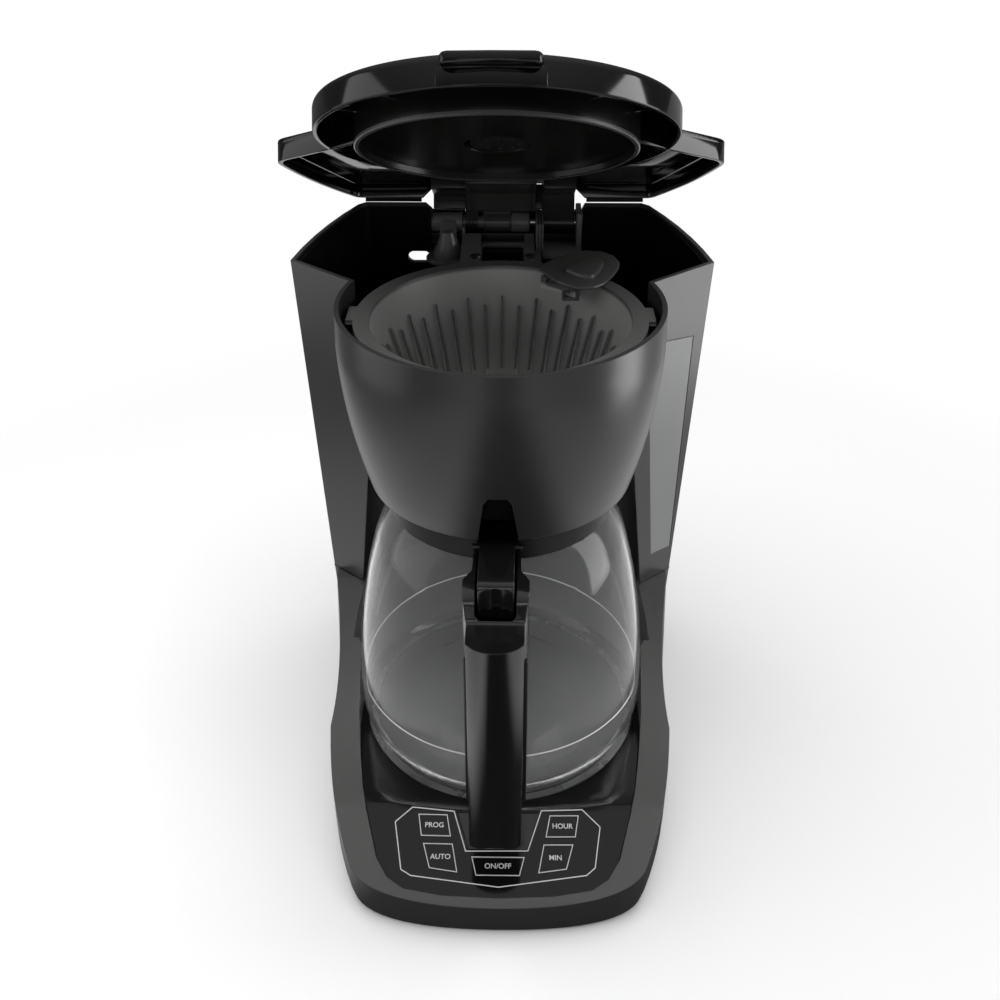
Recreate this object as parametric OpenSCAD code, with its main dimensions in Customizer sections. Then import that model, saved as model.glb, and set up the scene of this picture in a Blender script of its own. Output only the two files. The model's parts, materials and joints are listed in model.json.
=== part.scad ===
// Drip coffee maker: lower base with warming plate, upper housing with water tank and brew head,
// hinged lid, lift-out filter basket and glass carafe. Millimetres, +Z up, standing on z = 0.
// Pieces are laid out from the brew axis, which from_axis() sets in its place.

/* [Housing] */
// Brew axis from the middle of the footprint, negative is towards the front
axis_y = -9; // [-20:0.5:5]
// Width across the front corners of the housing at its rim
rim_width = 202; // [190:1:215]
// Width across the same corners at the seam
seam_width = 190.6; // [184:0.2:200]
// Width across the back corners at the rim
back_width = 157; // [130:1:175]
// Front corners of the housing, behind the brew axis
corner_y = 45; // [38:1:55]
// Back wall, behind the brew axis
back_y = 130.5; // [122:0.5:145]
// Height of the housing's rim
rim_z = 278; // [270:1:290]
// Height of the seam between the base and the housing
seam_z = 95; // [88:1:110]
// Thickness of the outer walls
wall = 2.2; // [1.6:0.1:3]
// Gap between pieces that are fitted together
fit_gap = 0.3; // [0.2:0.05:0.5]
// Gap between a pin and what turns on it
pin_gap = 0.05; // [0.02:0.01:0.1]

/* [Brew head] */
// Brew head's centre ahead of the carafe's centre
head_forward = 1.5; // [0:0.5:3]
// Outer radius of the brew head at its rim
head_rim_r = 73.1; // [70:0.1:76]
// Outer radius of the brew head at its lower edge
head_low_r = 63; // [60:0.5:66]
// Height of the brew head's lower edge
head_low_z = 193; // [190:0.5:200]
// Thickness of the inner plastic liners
liner = 1.6; // [1.2:0.1:2.4]
// Radius of the bay behind the carafe
bay_r = 83.3; // [80:0.1:86]

/* [Filter basket] */
// Inner radius of the basket's mouth
basket_mouth_r = 58.5; // [54:0.5:60]
// Height of the basket's rim
basket_rim_z = 271; // [268:0.5:273]
// Radius of the basket's floor
basket_floor_r = 44; // [36:1:50]
// Number of ribs inside the basket
basket_ribs = 40; // [16:2:48]
// Direction of the basket's handle, degrees from the right
basket_handle_turn = 53; // [30:1:70]
// Outer radius of the basket's finger ring
finger_ring_r = 20.5; // [16:0.5:22]
// Travel of the drip valve
valve_travel = 2.5; // [1:0.5:4]

/* [Carafe] */
// Height of the warming plate's top
plate_z = 36.5; // [32:0.5:40]
// Radius of the warming plate
plate_r = 70; // [64:0.5:71]
// Largest radius of the glass
glass_r = 76.3; // [72:0.1:77]
// Thickness of the glass
glass_t = 2; // [1.5:0.1:3]
// Outer radius of the glass neck
neck_r = 51; // [46:0.5:52]
// Height of the glass rim
neck_z = 184; // [180:0.5:185]
// Width of the carafe handle's grip
grip_width = 25; // [20:0.5:30]
// Width of the carafe handle's rear frame
frame_width = 28.6; // [27:0.2:34]
// Outer face of the grip from the brew axis
grip_reach = 120.5; // [114:0.5:126]
// Width of the carafe lid's thumb lever
lever_width = 15.6; // [12:0.2:17]

/* [Base] */
// Front of the base from the brew axis
base_front = 125.4; // [122:0.1:132]
// Greatest half width of the base
base_half = 93.5; // [92:0.5:98]
// Half width of the base at the waist of its arms
arm_waist = 89.6; // [88:0.2:92]
// Height of the four feet under the base shell
foot_h = 0.8; // [0.6:0.2:3]
// Top of the deck panel at its ridge
ridge_z = 36.2; // [32:0.1:36.2]
// Slope of the control panel, degrees
deck_slope = 19.7; // [15:0.1:24]
// Thickness of the deck panel
deck_t = 2.4; // [2:0.1:3]
// Travel of the push buttons
button_travel = 0.6; // [0.4:0.1:1]

/* [Lid] */
// How far the lid stands open
lid_open = 28.9; // [0:0.1:80]
// Underside of the closed lid
lid_z = 279.7; // [279.2:0.1:282]
// Radius of the lid's round part
lid_r = 78; // [76:0.5:80]
// Height of the lid's round part
lid_h = 12.4; // [10:0.2:16]
// Height of the lid's wings
wing_h = 10; // [8:0.5:12]
// Overhang of the lid past the housing
lid_overhang = 4.5; // [1:0.5:5]
// Radius of the splash ring under the lid
splash_r = 60.4; // [56:0.1:62]
// Width of the lid's thumb tab
tab_width = 38; // [30:1:50]
// Hinge axis, behind the brew axis
hinge_y = 131; // [129:0.5:136]
// Height of the hinge axis
hinge_z = 267; // [264:0.5:268]
// Radius of the hinge pin
hinge_pin_r = 3; // [2:0.1:3.4]
// Half width of the cut-out that the hinge sits in
hinge_half = 42.4; // [42.2:0.1:46]

/* [Hidden] */
$fn = 96;

housing_grey = "#3d3c3b";
gloss_black = "#0c0c0c";
liner_black = "#141414";
basket_grey = "#4a4a4a";
glass_tint = "#c8ccd0";
steel = "#b8b8b8";
rubber_black = "#1c1c1c";

// Brew head
head_y = -head_forward;
ceiling_z = head_low_z + wall;
bay_top_r = 68.3;
side_bulge = 5.5;
back_corner = 4;
front_x = 60;
oblique = 0.8;
// Well and basket
well_floor_z = head_low_z + 7;
well_flange_z = basket_rim_z - 7.6;
well_ring_r = basket_mouth_r + 7.5;
well_low_r = 57;
basket_floor_z = well_floor_z + liner + 1.4;
valve_hole_r = 5;
valve_stem_r = 3.2;
valve_tip_z = head_low_z - 3;
drip_hole_r = 9;
rib_size = [1.2, 1.6];
ear_z = basket_rim_z + 0.4;
ear_u = basket_mouth_r - 12.5;
// Tank
tank_floor_z = seam_z + 4;
tank_top_z = rim_z - 1.5;
tank_front_r = head_rim_r - wall;
tank_front_z = well_flange_z;
riser = [-30, back_y - 12.5];
riser_r = 5;
outlet = [44, 98];
overflow = [-46.6, rim_z - 29.5];
// Carafe
lid_axis = [-59.5, neck_z + 2];
lid_pin_r = 1.5;
collar_r = neck_r + 4;
collar_top_z = neck_z + 3;
collar_low_z = neck_z - 8.4;
carafe_turn = -0.6;
arm_low_z = neck_z - 18;
recess_half = 8.9;
// Base
ridge_y = -75.5;
key_depth = 4;
board_drop = 12;
waist_r = 200;
cover_t = 2.2;
cover_z = foot_h + 0.4;
foot_r = 7;
feet = [[56, -92], [-56, -92], [60, 112], [-60, 112]];
post_r = 4;
screw_r = 1.6;
posts = [[80, -55], [-80, -55], [70, 100], [-70, 100]];
// Hinge
lid_top_z = lid_z + lid_h;
knuckle_r = 5.2;
knuckle_spans = [[-20.8, -14], [-11, 4], [20.6, 38.4]];
plate_half = 38.4;
swivel_r = 3.6;
bridge_z = well_flange_z + 0.6;
bridge_t = 3;

// Points of a smooth curve from a to c that leaves and arrives along the lines through b
function curve(a, b, c, n = 6) =
    [for (i = [0:n]) let (t = i / n) (1 - t) * (1 - t) * a + 2 * t * (1 - t) * b + t * t * c];
// A whole outline from its right half, which starts and ends on or beside the middle line
function both_sides(half) = concat(half, [for (i = [len(half) - 1:-1:0]) [-half[i][0], half[i][1]]]);
function mix(a, b, t) = a + (b - a) * t;

module from_axis() {
    translate([0, axis_y, 0]) children();
}

module from_head() {
    translate([0, head_y, 0]) children();
}

module opened() {
    translate([0, hinge_y, hinge_z]) rotate([-lid_open, 0, 0]) translate([0, -hinge_y, -hinge_z]) children();
}

// A bar along X from x0 to x1 with its section in Y and Z
module bar(x0, x1) {
    translate([x0, 0, 0]) rotate([90, 0, 90]) linear_extrude(x1 - x0) children();
}

// A round rod along X at height z
module rod(x0, x1, r, y, z) {
    translate([x0, y, z]) rotate([0, 90, 0]) cylinder(h = x1 - x0, r = r);
}

// ---- housing outline ----

function plan_half(w, b) = concat(
    [[front_x, corner_y - oblique * (w - front_x)]],
    curve([w, corner_y], [(w + b) / 2 + side_bulge, (corner_y + back_y) / 2], [b, back_y - back_corner], 5),
    [[b - back_corner, back_y]]);

// The housing tapers from its rim down to the seam and on through the base
function plan_at(z) = let (t = (z - seam_z) / (rim_z - seam_z))
    both_sides(plan_half(mix(seam_width, rim_width, t) / 2, mix(back_width - 5, back_width, t) / 2));

module block(z0, z1, inset) {
    hull() for (z = [z0, z1 - 0.01]) translate([0, 0, z]) linear_extrude(0.01)
        offset(delta = -inset) polygon(plan_at(z));
}

// The round room behind the carafe, up to height top
module bay(grow, top) {
    taper = (bay_r - bay_top_r) / (head_low_z - seam_z);
    rotate_extrude() polygon([[0, -1], [bay_r + grow, -1], [bay_r + grow, seam_z],
        [bay_r + grow - taper * (top - seam_z), top], [0, top]]);
}

function head_curve(inset) = concat(
    curve([head_low_r - inset, head_low_z], [head_rim_r - inset, head_low_z + 35],
        [head_rim_r + 0.7 - inset, rim_z - 16], 12),
    [[head_rim_r - inset, rim_z]]);

module head_body(inset, more) {
    from_head() rotate_extrude() polygon(concat([[0, head_low_z - more], [head_low_r - inset, head_low_z - more]],
        head_curve(inset), [[head_rim_r - inset, rim_z + more], [0, rim_z + more]]));
}

// Arched notch over the carafe's thumb lever
module lever_notch() {
    translate([0, head_y, 0]) rotate([90, 0, 0]) linear_extrude(100)
        polygon([[-9.2, head_low_z - 1], [8.8, head_low_z - 1], [5.8, head_low_z + 22], [3.6, head_low_z + 25.6],
            [-4.4, head_low_z + 25.6], [-6.6, head_low_z + 22]]);
}

// Slot through the back walls that lets water out when the tank is too full
module overflow_slot() {
    translate([overflow[0], back_y + 5, overflow[1]]) rotate([90, 0, 0]) linear_extrude(20) {
        square([6, 6.6], center = true);
        for (s = [-1, 1]) translate([3 * s, 0]) circle(r = 3.3, $fn = 32);
    }
}

// The gap in the back of the rim, with slanted ends; its left half is narrower
module hinge_gap(grow) {
    right = hinge_half + grow;
    left = right - 3.6;
    low = bridge_z - 7 - grow;
    translate([0, back_y + 20, 0]) rotate([90, 0, 0]) linear_extrude(50)
        polygon([[-left, low], [right, low], [right, rim_z - 3], [right + 4, rim_z + 5], [-left - 9, rim_z + 5],
            [-left, rim_z - 3]]);
}

// ---- window in the right oblique face ----

// Outline seen square to the face: distance from the corner, height
window_outline = [[6.6, rim_z - 36], [28.5, rim_z - 33], [33, rim_z - 68], [19.5, seam_z + 17.5], [4.6, seam_z + 16.5]];

module window_prism(grow) {
    face_turn = atan(oblique);
    translate([rim_width / 2 - 2, corner_y, 0]) rotate([0, 0, face_turn]) mirror([1, 0, 0])
        translate([0, 14, 0]) rotate([90, 0, 0]) linear_extrude(30) offset(delta = grow) polygon(window_outline);
}

module upper_housing() {
    color(housing_grey) from_axis() difference() {
        union() {
            difference() {
                block(seam_z, rim_z, 0);
                bay(0, head_low_z);
            }
            head_body(0, 0);
        }
        block(ceiling_z, rim_z + 1, wall);
        difference() {
            block(seam_z - 1, ceiling_z + 0.5, wall);
            bay(wall, ceiling_z + 1);
        }
        head_body(wall, 1);
        lever_notch();
        overflow_slot();
        hinge_gap(0);
        window_prism(0);
    }
}

module water_window() {
    color(glass_tint) from_axis() intersection() {
        difference() {
            block(seam_z + 5, rim_z - 5, 0.1);
            block(seam_z + 4, rim_z - 4, wall - 0.1);
        }
        window_prism(-fit_gap);
    }
}

// Room that the tank leaves for the bay and the brew head
module tank_front(grow) {
    low = seam_z - 1;
    taper = (bay_r - bay_top_r) / (head_low_z - seam_z);
    fit = wall + fit_gap + grow;
    rotate_extrude() polygon([[0, low], [bay_r + fit, low], [bay_r + fit, seam_z],
        [bay_r + fit - taper * (ceiling_z - seam_z), ceiling_z + fit_gap], [0, ceiling_z + fit_gap]]);
    from_head() translate([0, 0, low]) cylinder(h = rim_z, r = tank_front_r + grow);
}

module water_tank() {
    color(liner_black) from_axis() difference() {
        block(tank_floor_z, tank_top_z, wall + fit_gap);
        tank_front(0);
        difference() {
            block(tank_floor_z + liner, tank_top_z + 1, wall + fit_gap + liner);
            tank_front(liner);
        }
        from_head() translate([0, 0, tank_front_z]) cylinder(h = 40, r = tank_front_r + liner + 1);
        translate([riser[0], riser[1], seam_z]) cylinder(h = 20, r = riser_r + 1.5);
        translate([outlet[0], outlet[1], seam_z]) cylinder(h = 20, r = 6);
        overflow_slot();
        hinge_gap(1);
    }
}

module tank_grommet() {
    color(rubber_black) from_axis() translate([riser[0], riser[1], tank_floor_z - 1]) difference() {
        union() {
            cylinder(h = liner + 2, r = riser_r + 1.4);
            cylinder(h = 0.9, r = riser_r + 4);
        }
        translate([0, 0, -1]) cylinder(h = 20, r = riser_r + pin_gap);
    }
}

module basket_well() {
    color(liner_black) from_axis() from_head() rotate_extrude() polygon([[drip_hole_r, well_floor_z],
        [well_low_r, well_floor_z], [well_ring_r - 1, well_flange_z - 2], [head_rim_r - wall - 2, well_flange_z - 2],
        [head_rim_r - wall - 2, well_flange_z], [well_ring_r, well_flange_z], [well_ring_r, basket_rim_z - 2.3],
        [well_ring_r - 1.6, basket_rim_z - 2.3], [well_ring_r - 1 - liner, well_flange_z - 4],
        [well_low_r - liner, well_floor_z + liner], [drip_hole_r, well_floor_z + liner]]);
}

// ---- filter basket ----

function basket_r(z) = mix(basket_floor_r, basket_mouth_r, (z - basket_floor_z) / (basket_rim_z - basket_floor_z));

module at_handle() {
    rotate([0, 0, basket_handle_turn]) children();
}

module filter_basket() {
    flange_r = well_ring_r - 0.5;
    color(basket_grey) from_axis() from_head() {
        difference() {
            union() {
                rotate_extrude() polygon([[valve_hole_r, basket_floor_z], [basket_floor_r + liner, basket_floor_z],
                    [basket_mouth_r + liner, basket_rim_z - 4], [basket_mouth_r + liner, basket_rim_z - 2],
                    [flange_r, basket_rim_z - 2], [flange_r, basket_rim_z], [basket_mouth_r, basket_rim_z],
                    [basket_floor_r, basket_floor_z + liner], [valve_hole_r, basket_floor_z + liner]]);
                for (s = [-1, 1]) translate([s * flange_r - 3, -6, basket_rim_z - 2]) cube([6, 15, 2]);
                at_handle() translate([ear_u - 2, -10, basket_rim_z - 4]) cube([basket_mouth_r - ear_u + 2.5, 20, 1.8]);
                at_handle() for (v = [-10, 7.2]) translate([ear_u - 1.8, v, basket_rim_z - 4]) cube([3.6, 2.8, 5.8]);
            }
            at_handle() translate([ear_u, -12, ear_z]) rotate([-90, 0, 0]) cylinder(h = 24, r = 1 + pin_gap, $fn = 32);
        }
        for (i = [0:basket_ribs - 1]) {
            low = basket_floor_z + liner;
            top = basket_rim_z - (i % 2 == 0 ? 14 : 18);
            rotate([0, 0, i * 360 / basket_ribs]) rotate([90, 0, 0])
                translate([0, 0, -rib_size[0] / 2]) linear_extrude(rib_size[0])
                polygon([[basket_r(low) + 0.3, low], [basket_r(top) + 0.3, top], [basket_r(top) - 1, top - 1.2],
                    [basket_r(low) - rib_size[1], low]]);
        }
    }
}

module basket_handle() {
    ring_u = ear_u + finger_ring_r - 1;
    color(basket_grey) from_axis() from_head() at_handle() {
        difference() {
            translate([0, 0, basket_rim_z + 0.4]) linear_extrude(2.2) difference() {
                translate([ring_u, 0]) circle(r = finger_ring_r);
                translate([ring_u, 0]) circle(r = finger_ring_r * 0.56);
                translate([ear_u - 20, -20]) square([20, 40]);
                for (s = [-1, 1]) translate([ear_u, s * 8.9]) square([5.4, 4.8], center = true);
            }
            translate([ear_u, -12, ear_z]) rotate([-90, 0, 0]) cylinder(h = 24, r = 0.9, $fn = 32);
        }
        translate([ear_u, -6.8, ear_z]) rotate([-90, 0, 0]) cylinder(h = 13.6, r = 1.9, $fn = 32);
        translate([ear_u, -9.8, ear_z]) rotate([-90, 0, 0]) cylinder(h = 19.6, r = 1, $fn = 32);
    }
}

module drip_valve() {
    seat_z = basket_floor_z + liner + 0.2;
    color(rubber_black) from_axis() from_head() {
        translate([0, 0, valve_tip_z]) cylinder(h = seat_z - valve_tip_z + 1, r = valve_stem_r);
        translate([0, 0, seat_z]) cylinder(h = 2.2, r = 7);
        translate([0, 0, seat_z]) cylinder(h = 4.2, r = 2.4);
    }
}

module valve_spring() {
    seat_z = basket_floor_z + liner + 2.6;
    color(steel) from_axis() from_head() translate([0, 0, seat_z]) difference() {
        cylinder(h = 7.6, r = 4);
        translate([0, 0, -1]) cylinder(h = 10, r = 3.2);
    }
}

module valve_cage() {
    low = basket_floor_z + liner + 0.05;
    color(basket_grey) from_axis() from_head() difference() {
        translate([0, 0, low]) cylinder(h = 12, r = 10);
        translate([0, 0, low - 1]) cylinder(h = 11.4, r = 8.4);
        for (i = [0:2]) rotate([0, 0, 60 * i]) translate([-12, -2, low - 1]) cube([24, 4, 7]);
    }
}

// ---- carafe ----

module carafe_turned() {
    rotate([0, 0, carafe_turn]) children();
}

function glass_curve(t) = concat(
    curve([58, plate_z + t], [glass_r - 2 - t, plate_z + t], [glass_r - t, plate_z + 15.5], 6),
    curve([glass_r - t, plate_z + 15.5], [glass_r + 0.5 - t, plate_z + 68], [glass_r - 13.4 - t, neck_z - 29], 8),
    curve([glass_r - 13.4 - t, neck_z - 29], [neck_r + 7 - t, neck_z - 14], [neck_r - t, neck_z - 9], 5));

module carafe_glass() {
    color(glass_tint, 0.35) from_axis() rotate_extrude() difference() {
        polygon(concat([[0, plate_z + 1.5], [52, plate_z + 1.5], [54, plate_z]], glass_curve(0),
            [[neck_r, neck_z], [0, neck_z]]));
        polygon(concat([[0, plate_z + 1.5 + glass_t], [52, plate_z + 1.5 + glass_t]], glass_curve(glass_t + 0.01),
            [[neck_r - glass_t, neck_z + 1], [0, neck_z + 1]]));
    }
}

module carafe_collar() {
    color(gloss_black) from_axis() carafe_turned() difference() {
        union() {
            translate([0, 0, collar_low_z]) cylinder(h = collar_top_z - collar_low_z, r = collar_r);
            // pouring spout, opposite the handle
            translate([0, 0, collar_low_z + 6]) linear_extrude(collar_top_z - collar_low_z - 6)
                polygon([[-10, collar_r - 5], [10, collar_r - 5], [1.5, collar_r + 5], [-1.5, collar_r + 5]]);
        }
        translate([0, 0, collar_low_z - 1]) cylinder(h = 40, r = neck_r + fit_gap);
        translate([0, 0, neck_z + fit_gap]) linear_extrude(20)
            polygon([[-7, collar_r - 8], [7, collar_r - 8], [0.6, collar_r + 3], [-0.6, collar_r + 3]]);
    }
}

// Side outline of the handle: Y and Z, from the collar over the grip and back
grip_back_y = -grip_reach + 21.5;
grip_low_z = 52;
handle_outline = concat(
    [[-collar_r - fit_gap, arm_low_z + 5], [-collar_r - fit_gap, neck_z - 1], [-84, neck_z]],
    curve([-84, neck_z], [-97, neck_z - 13], [-grip_reach + 9, neck_z - 17], 8),
    curve([-grip_reach + 9, neck_z - 17], [-grip_reach + 2, neck_z - 20], [-grip_reach + 1, neck_z - 45], 8),
    curve([-grip_reach, grip_low_z + 18], [-grip_reach + 0.5, grip_low_z + 1], [-grip_reach + 9, grip_low_z], 8),
    curve([grip_back_y - 4.5, grip_low_z], [grip_back_y - 0.5, grip_low_z + 2], [grip_back_y, grip_low_z + 14], 6),
    curve([grip_back_y + 3, neck_z - 40], [-93, arm_low_z - 2], [-78, arm_low_z], 8));

insert_y = grip_back_y + 2;

module grip_section() {
    intersection() {
        translate([0, -grip_reach + 16]) circle(r = 16);
        translate([-grip_width / 2, -grip_reach - 1]) square([grip_width, 24]);
    }
}

module carafe_handle() {
    color(gloss_black) from_axis() carafe_turned() difference() {
        union() {
            intersection() {
                bar(-frame_width / 2, frame_width / 2) polygon(handle_outline);
                translate([0, 0, arm_low_z - 8]) linear_extrude(40) polygon([[-frame_width / 2, grip_back_y], [frame_width / 2, grip_back_y],
                    [frame_width / 2, -76], [recess_half + 2.6, -69], [recess_half + 2.6, -40], [-recess_half - 2.6, -40],
                    [-recess_half - 2.6, -69], [-frame_width / 2, -76]]);
            }
            intersection() {
                bar(-grip_width / 2, grip_width / 2) polygon(handle_outline);
                linear_extrude(neck_z + 10) union() {
                    grip_section();
                    translate([-grip_width / 2, grip_back_y]) square([grip_width, -69 - grip_back_y]);
                }
            }
            for (s = [-1, 1]) translate([s * (recess_half + 1.3) - 1.3, lid_axis[0] - 3.5, neck_z - 6])
                cube([2.6, 7, 11]);
        }
        // room for the lever, deeper towards its thumb pad
        bar(-recess_half, recess_half) polygon([[-40, neck_z - 6], [-40, neck_z + 10], [-94.5, neck_z + 10],
            [-96.5, neck_z - 11], [-94, neck_z - 22], [-80, neck_z - 22], [-76, neck_z - 6]]);
        rod(-20, 20, lid_pin_r + pin_gap, lid_axis[0], lid_axis[1]);
        // seat of the insert along the inner side of the grip
        translate([-frame_width / 2 - 1, insert_y, grip_low_z - 2]) cube([frame_width + 2, 20, arm_low_z - 12 - grip_low_z]);
    }
}

module handle_insert() {
    color(liner_black) from_axis() carafe_turned() difference() {
        translate([-frame_width / 2, insert_y + fit_gap, grip_low_z + 10])
            cube([frame_width, 3.2, arm_low_z - 24.3 - grip_low_z]);
        translate([0, insert_y + 7, arm_low_z - 30]) rotate([90, 0, 0]) cylinder(h = 10, r = screw_r + 0.2);
    }
}

module handle_screw() {
    color(steel) from_axis() carafe_turned() translate([0, insert_y + fit_gap + 3.3, arm_low_z - 30]) rotate([-90, 0, 0]) {
        cylinder(h = 1.4, r = 3);
        translate([0, 0, -3]) cylinder(h = 3.5, r = screw_r);
    }
}

module lid_pin() {
    color(steel) from_axis() carafe_turned() rod(-recess_half - 2.4, recess_half + 2.4, lid_pin_r, lid_axis[0], lid_axis[1]);
}

module carafe_lid() {
    seat_z = neck_z + fit_gap;
    lever = concat([[-46, neck_z + 4], [-56, neck_z + 6.6], [-63, neck_z + 8.2]],
        curve([-66, neck_z + 7], [-73, neck_z], [-82, neck_z + 2.4], 4),
        [[-88, neck_z + 0.5], [-92.5, neck_z - 9], [-91.5, neck_z - 17], [-86, neck_z - 17], [-83, neck_z - 2],
        [-70, neck_z - 2], [-62, neck_z - 1.2], [-57.5, neck_z + 0.4], [-56, neck_z + 3.5], [-46, neck_z + 3.5]]);
    color(gloss_black) from_axis() carafe_turned() difference() {
        union() {
            translate([0, 0, seat_z]) cylinder(h = 3.7, r = neck_r - 0.1);
            translate([0, 0, seat_z - 6]) cylinder(h = 7, r = neck_r - glass_t - 1);
            bar(-lever_width / 2, lever_width / 2) polygon(lever);
        }
        difference() {
            translate([0, 0, seat_z - 7]) cylinder(h = 8.2, r = neck_r - glass_t - 3);
            translate([0, 0, seat_z - 8]) cylinder(h = 12, r = drip_hole_r + 3);
        }
        translate([0, head_y, seat_z - 8]) cylinder(h = 30, r = drip_hole_r);
        rod(-20, 20, lid_pin_r + pin_gap, lid_axis[0], lid_axis[1]);
    }
}

// ---- base ----

function base_half_plan(inset) = let (w = base_half - inset, f = base_front - inset) concat(
    curve([0, -f], [60 - inset, -f], [72 - inset, -f + 17], 12),
    curve([73 - inset, -f + 19], [w, -60], [w, 10], 12),
    curve([w + 2, corner_y], [w - 1, 95], [back_width / 2 - inset, back_y - back_corner - inset], 8),
    [[back_width / 2 - back_corner - inset, back_y - inset]]);

module base_slab(inset) {
    hull() {
        translate([0, 0, foot_h]) linear_extrude(0.01) polygon(both_sides(base_half_plan(inset + 1.5)));
        translate([0, 0, 10]) linear_extrude(26) polygon(both_sides(base_half_plan(inset)));
        translate([0, 0, seam_z - 0.01]) linear_extrude(0.01) polygon(both_sides(base_half_plan(inset + 2.2)));
    }
}

// Large hollow that waists the base at the foot of each arm
module waist(grow) {
    for (s = [-1, 1]) translate([s * (arm_waist - grow + waist_r + 60 * sin(3.4)), -12, 0]) rotate([0, -s * 3.4, 0])
        translate([0, 0, -40]) cylinder(h = 180, r = waist_r, $fn = 360);
}

// Height of the arms beside the carafe, falling from the seam to the front edge
function arm_line(drop) = concat(
    [[-base_front - 5, -5], [-base_front - 5, 17 - drop], [-base_front + 3, 21 - drop]],
    curve([-77, ridge_z + 1 - drop], [-8, ridge_z + 4 - drop], [corner_y - 11, seam_z - drop], 16),
    [[back_y + 10, seam_z - drop], [back_y + 10, -5]]);

// Room between the arms, from the front of the deck to the column
pocket_half = [[0, -121], [27, -120], [46, -117], [54, -112], [60, -103], [67, -80], [70.5, -65], [74.2, -42],
    [76.6, -22], [77.4, -6], [77.6, 8], [bay_r - 1.6, 15]];

module pocket(grow, low = -10) {
    translate([0, 0, low]) linear_extrude(200) {
        offset(delta = grow) polygon(both_sides(pocket_half));
        intersection() {
            circle(r = bay_r + grow);
            translate([-100, 11 - grow]) square([200, 100]);
        }
    }
}

module base_solid(inset) {
    difference() {
        union() {
            intersection() {
                base_slab(inset);
                bar(-150, 150) polygon(arm_line(inset));
            }
            block(30 + inset, seam_z + (inset > 0 ? 1 : 0), inset);
        }
        waist(inset);
    }
}

module base_shell() {
    color(housing_grey) from_axis() difference() {
        base_solid(0);
        pocket(0, -10);
        difference() {
            union() {
                base_solid(wall);
                translate([0, 0, -1]) linear_extrude(foot_h + 2) polygon(both_sides(base_half_plan(wall + 1.6)));
            }
            pocket(wall, cover_z + cover_t + fit_gap);
            for (p = posts) translate([p[0], p[1], cover_z + cover_t + fit_gap]) cylinder(h = 25, r = post_r);
            for (p = posts) translate([p[0], p[1] - 1, cover_z + cover_t + fit_gap])
                mirror([p[0] < 0 ? 1 : 0, 0, 0]) cube([30, 2, 25]);
        }
        for (p = posts) translate([p[0], p[1], 0]) cylinder(h = 20, r = screw_r);
        for (path = [cold_path, hot_path]) tube_run(path, 5);
        translate([-55, back_y + 5, 20]) rotate([90, 0, 0]) cylinder(h = 15, r = 7);
    }
}

module bottom_cover() {
    color(liner_black) from_axis() difference() {
        translate([0, 0, cover_z]) linear_extrude(cover_t) polygon(both_sides(base_half_plan(wall + 2)));
        waist(wall + 2);
        for (p = posts) translate([p[0], p[1], 0]) cylinder(h = 20, r = screw_r + 0.3);
        for (i = [-3:3]) translate([-22, i * 7 + 50, 0]) cube([44, 3, 10]);
    }
}

module rubber_feet() {
    color(rubber_black) from_axis() for (f = feet) translate([f[0], f[1], 0]) cylinder(h = cover_z, r = foot_r);
}

module cover_screws() {
    color(steel) from_axis() for (p = posts) translate([p[0], p[1], cover_z - 1]) {
        cylinder(h = 1, r = 3);
        cylinder(h = 12, r = screw_r - 0.1);
    }
}

// Puts its children on the sloping panel: X to the right, Y down the slope, Z up out of it
module on_slope() {
    translate([0, ridge_y, ridge_z]) rotate([deck_slope, 0, 0]) mirror([0, 1, 0]) children();
}

display_outline = [[-21, 5], [21, 5], [14.6, 24], [-14.6, 24]];
prog_outline = [[-40.5, 6.2], [-25.8, 6.4], [-23.6, 17.6], [-38.6, 17.4]];
auto_outline = [[-37.4, 21], [-22.6, 21.2], [-19.8, 35.4], [-33.8, 33.4]];
power_outline = [[-13.2, 27.5], [13.2, 27.5], [10.8, 36.8], [-10.8, 36.8]];

module deck_panel() {
    front = [ridge_y - 50 * cos(deck_slope), ridge_z - 50 * sin(deck_slope)];
    back_z = plate_z - 0.8;
    color(gloss_black) from_axis() difference() {
        intersection() {
            bar(-120, 120) polygon([front, [ridge_y, ridge_z], [ridge_y + 10, back_z], [bay_r + 20, back_z],
                [bay_r + 20, back_z - deck_t], [ridge_y + 10, back_z - deck_t], [ridge_y, ridge_z - deck_t],
                [front[0], front[1] - deck_t]]);
            pocket(-fit_gap);
        }
        translate([0, 0, 10]) cylinder(h = 50, r = plate_r + 4.6);
        on_slope() for (o = [prog_outline, auto_outline, power_outline, display_outline])
            translate([0, 0, -9]) linear_extrude(20) polygon(o);
        on_slope() for (o = [prog_outline, auto_outline]) mirror([1, 0, 0])
            translate([0, 0, -9]) linear_extrude(20) polygon(o);
    }
}

module key(outline) {
    translate([0, 0, -key_depth]) linear_extrude(key_depth + 0.3) offset(delta = -fit_gap) polygon(outline);
}

module prog_button() {
    color(gloss_black) from_axis() on_slope() key(prog_outline);
}

module auto_button() {
    color(gloss_black) from_axis() on_slope() key(auto_outline);
}

module power_button() {
    color(gloss_black) from_axis() on_slope() key(power_outline);
}

module hour_button() {
    color(gloss_black) from_axis() on_slope() mirror([1, 0, 0]) key(prog_outline);
}

module minute_button() {
    color(gloss_black) from_axis() on_slope() mirror([1, 0, 0]) key(auto_outline);
}

module display_lens() {
    color("#101418") from_axis() on_slope() translate([0, 0, -1.6]) linear_extrude(1.6)
        offset(delta = -fit_gap) polygon(display_outline);
}

switch_spots = [[-32, 12], [-28.5, 27.5], [0, 32], [32, 12], [28.5, 27.5]];

module lcd_module() {
    color("#2c3a33") from_axis() on_slope() translate([0, 0, -4.8]) linear_extrude(3)
        offset(delta = -1) polygon(display_outline);
}

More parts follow.
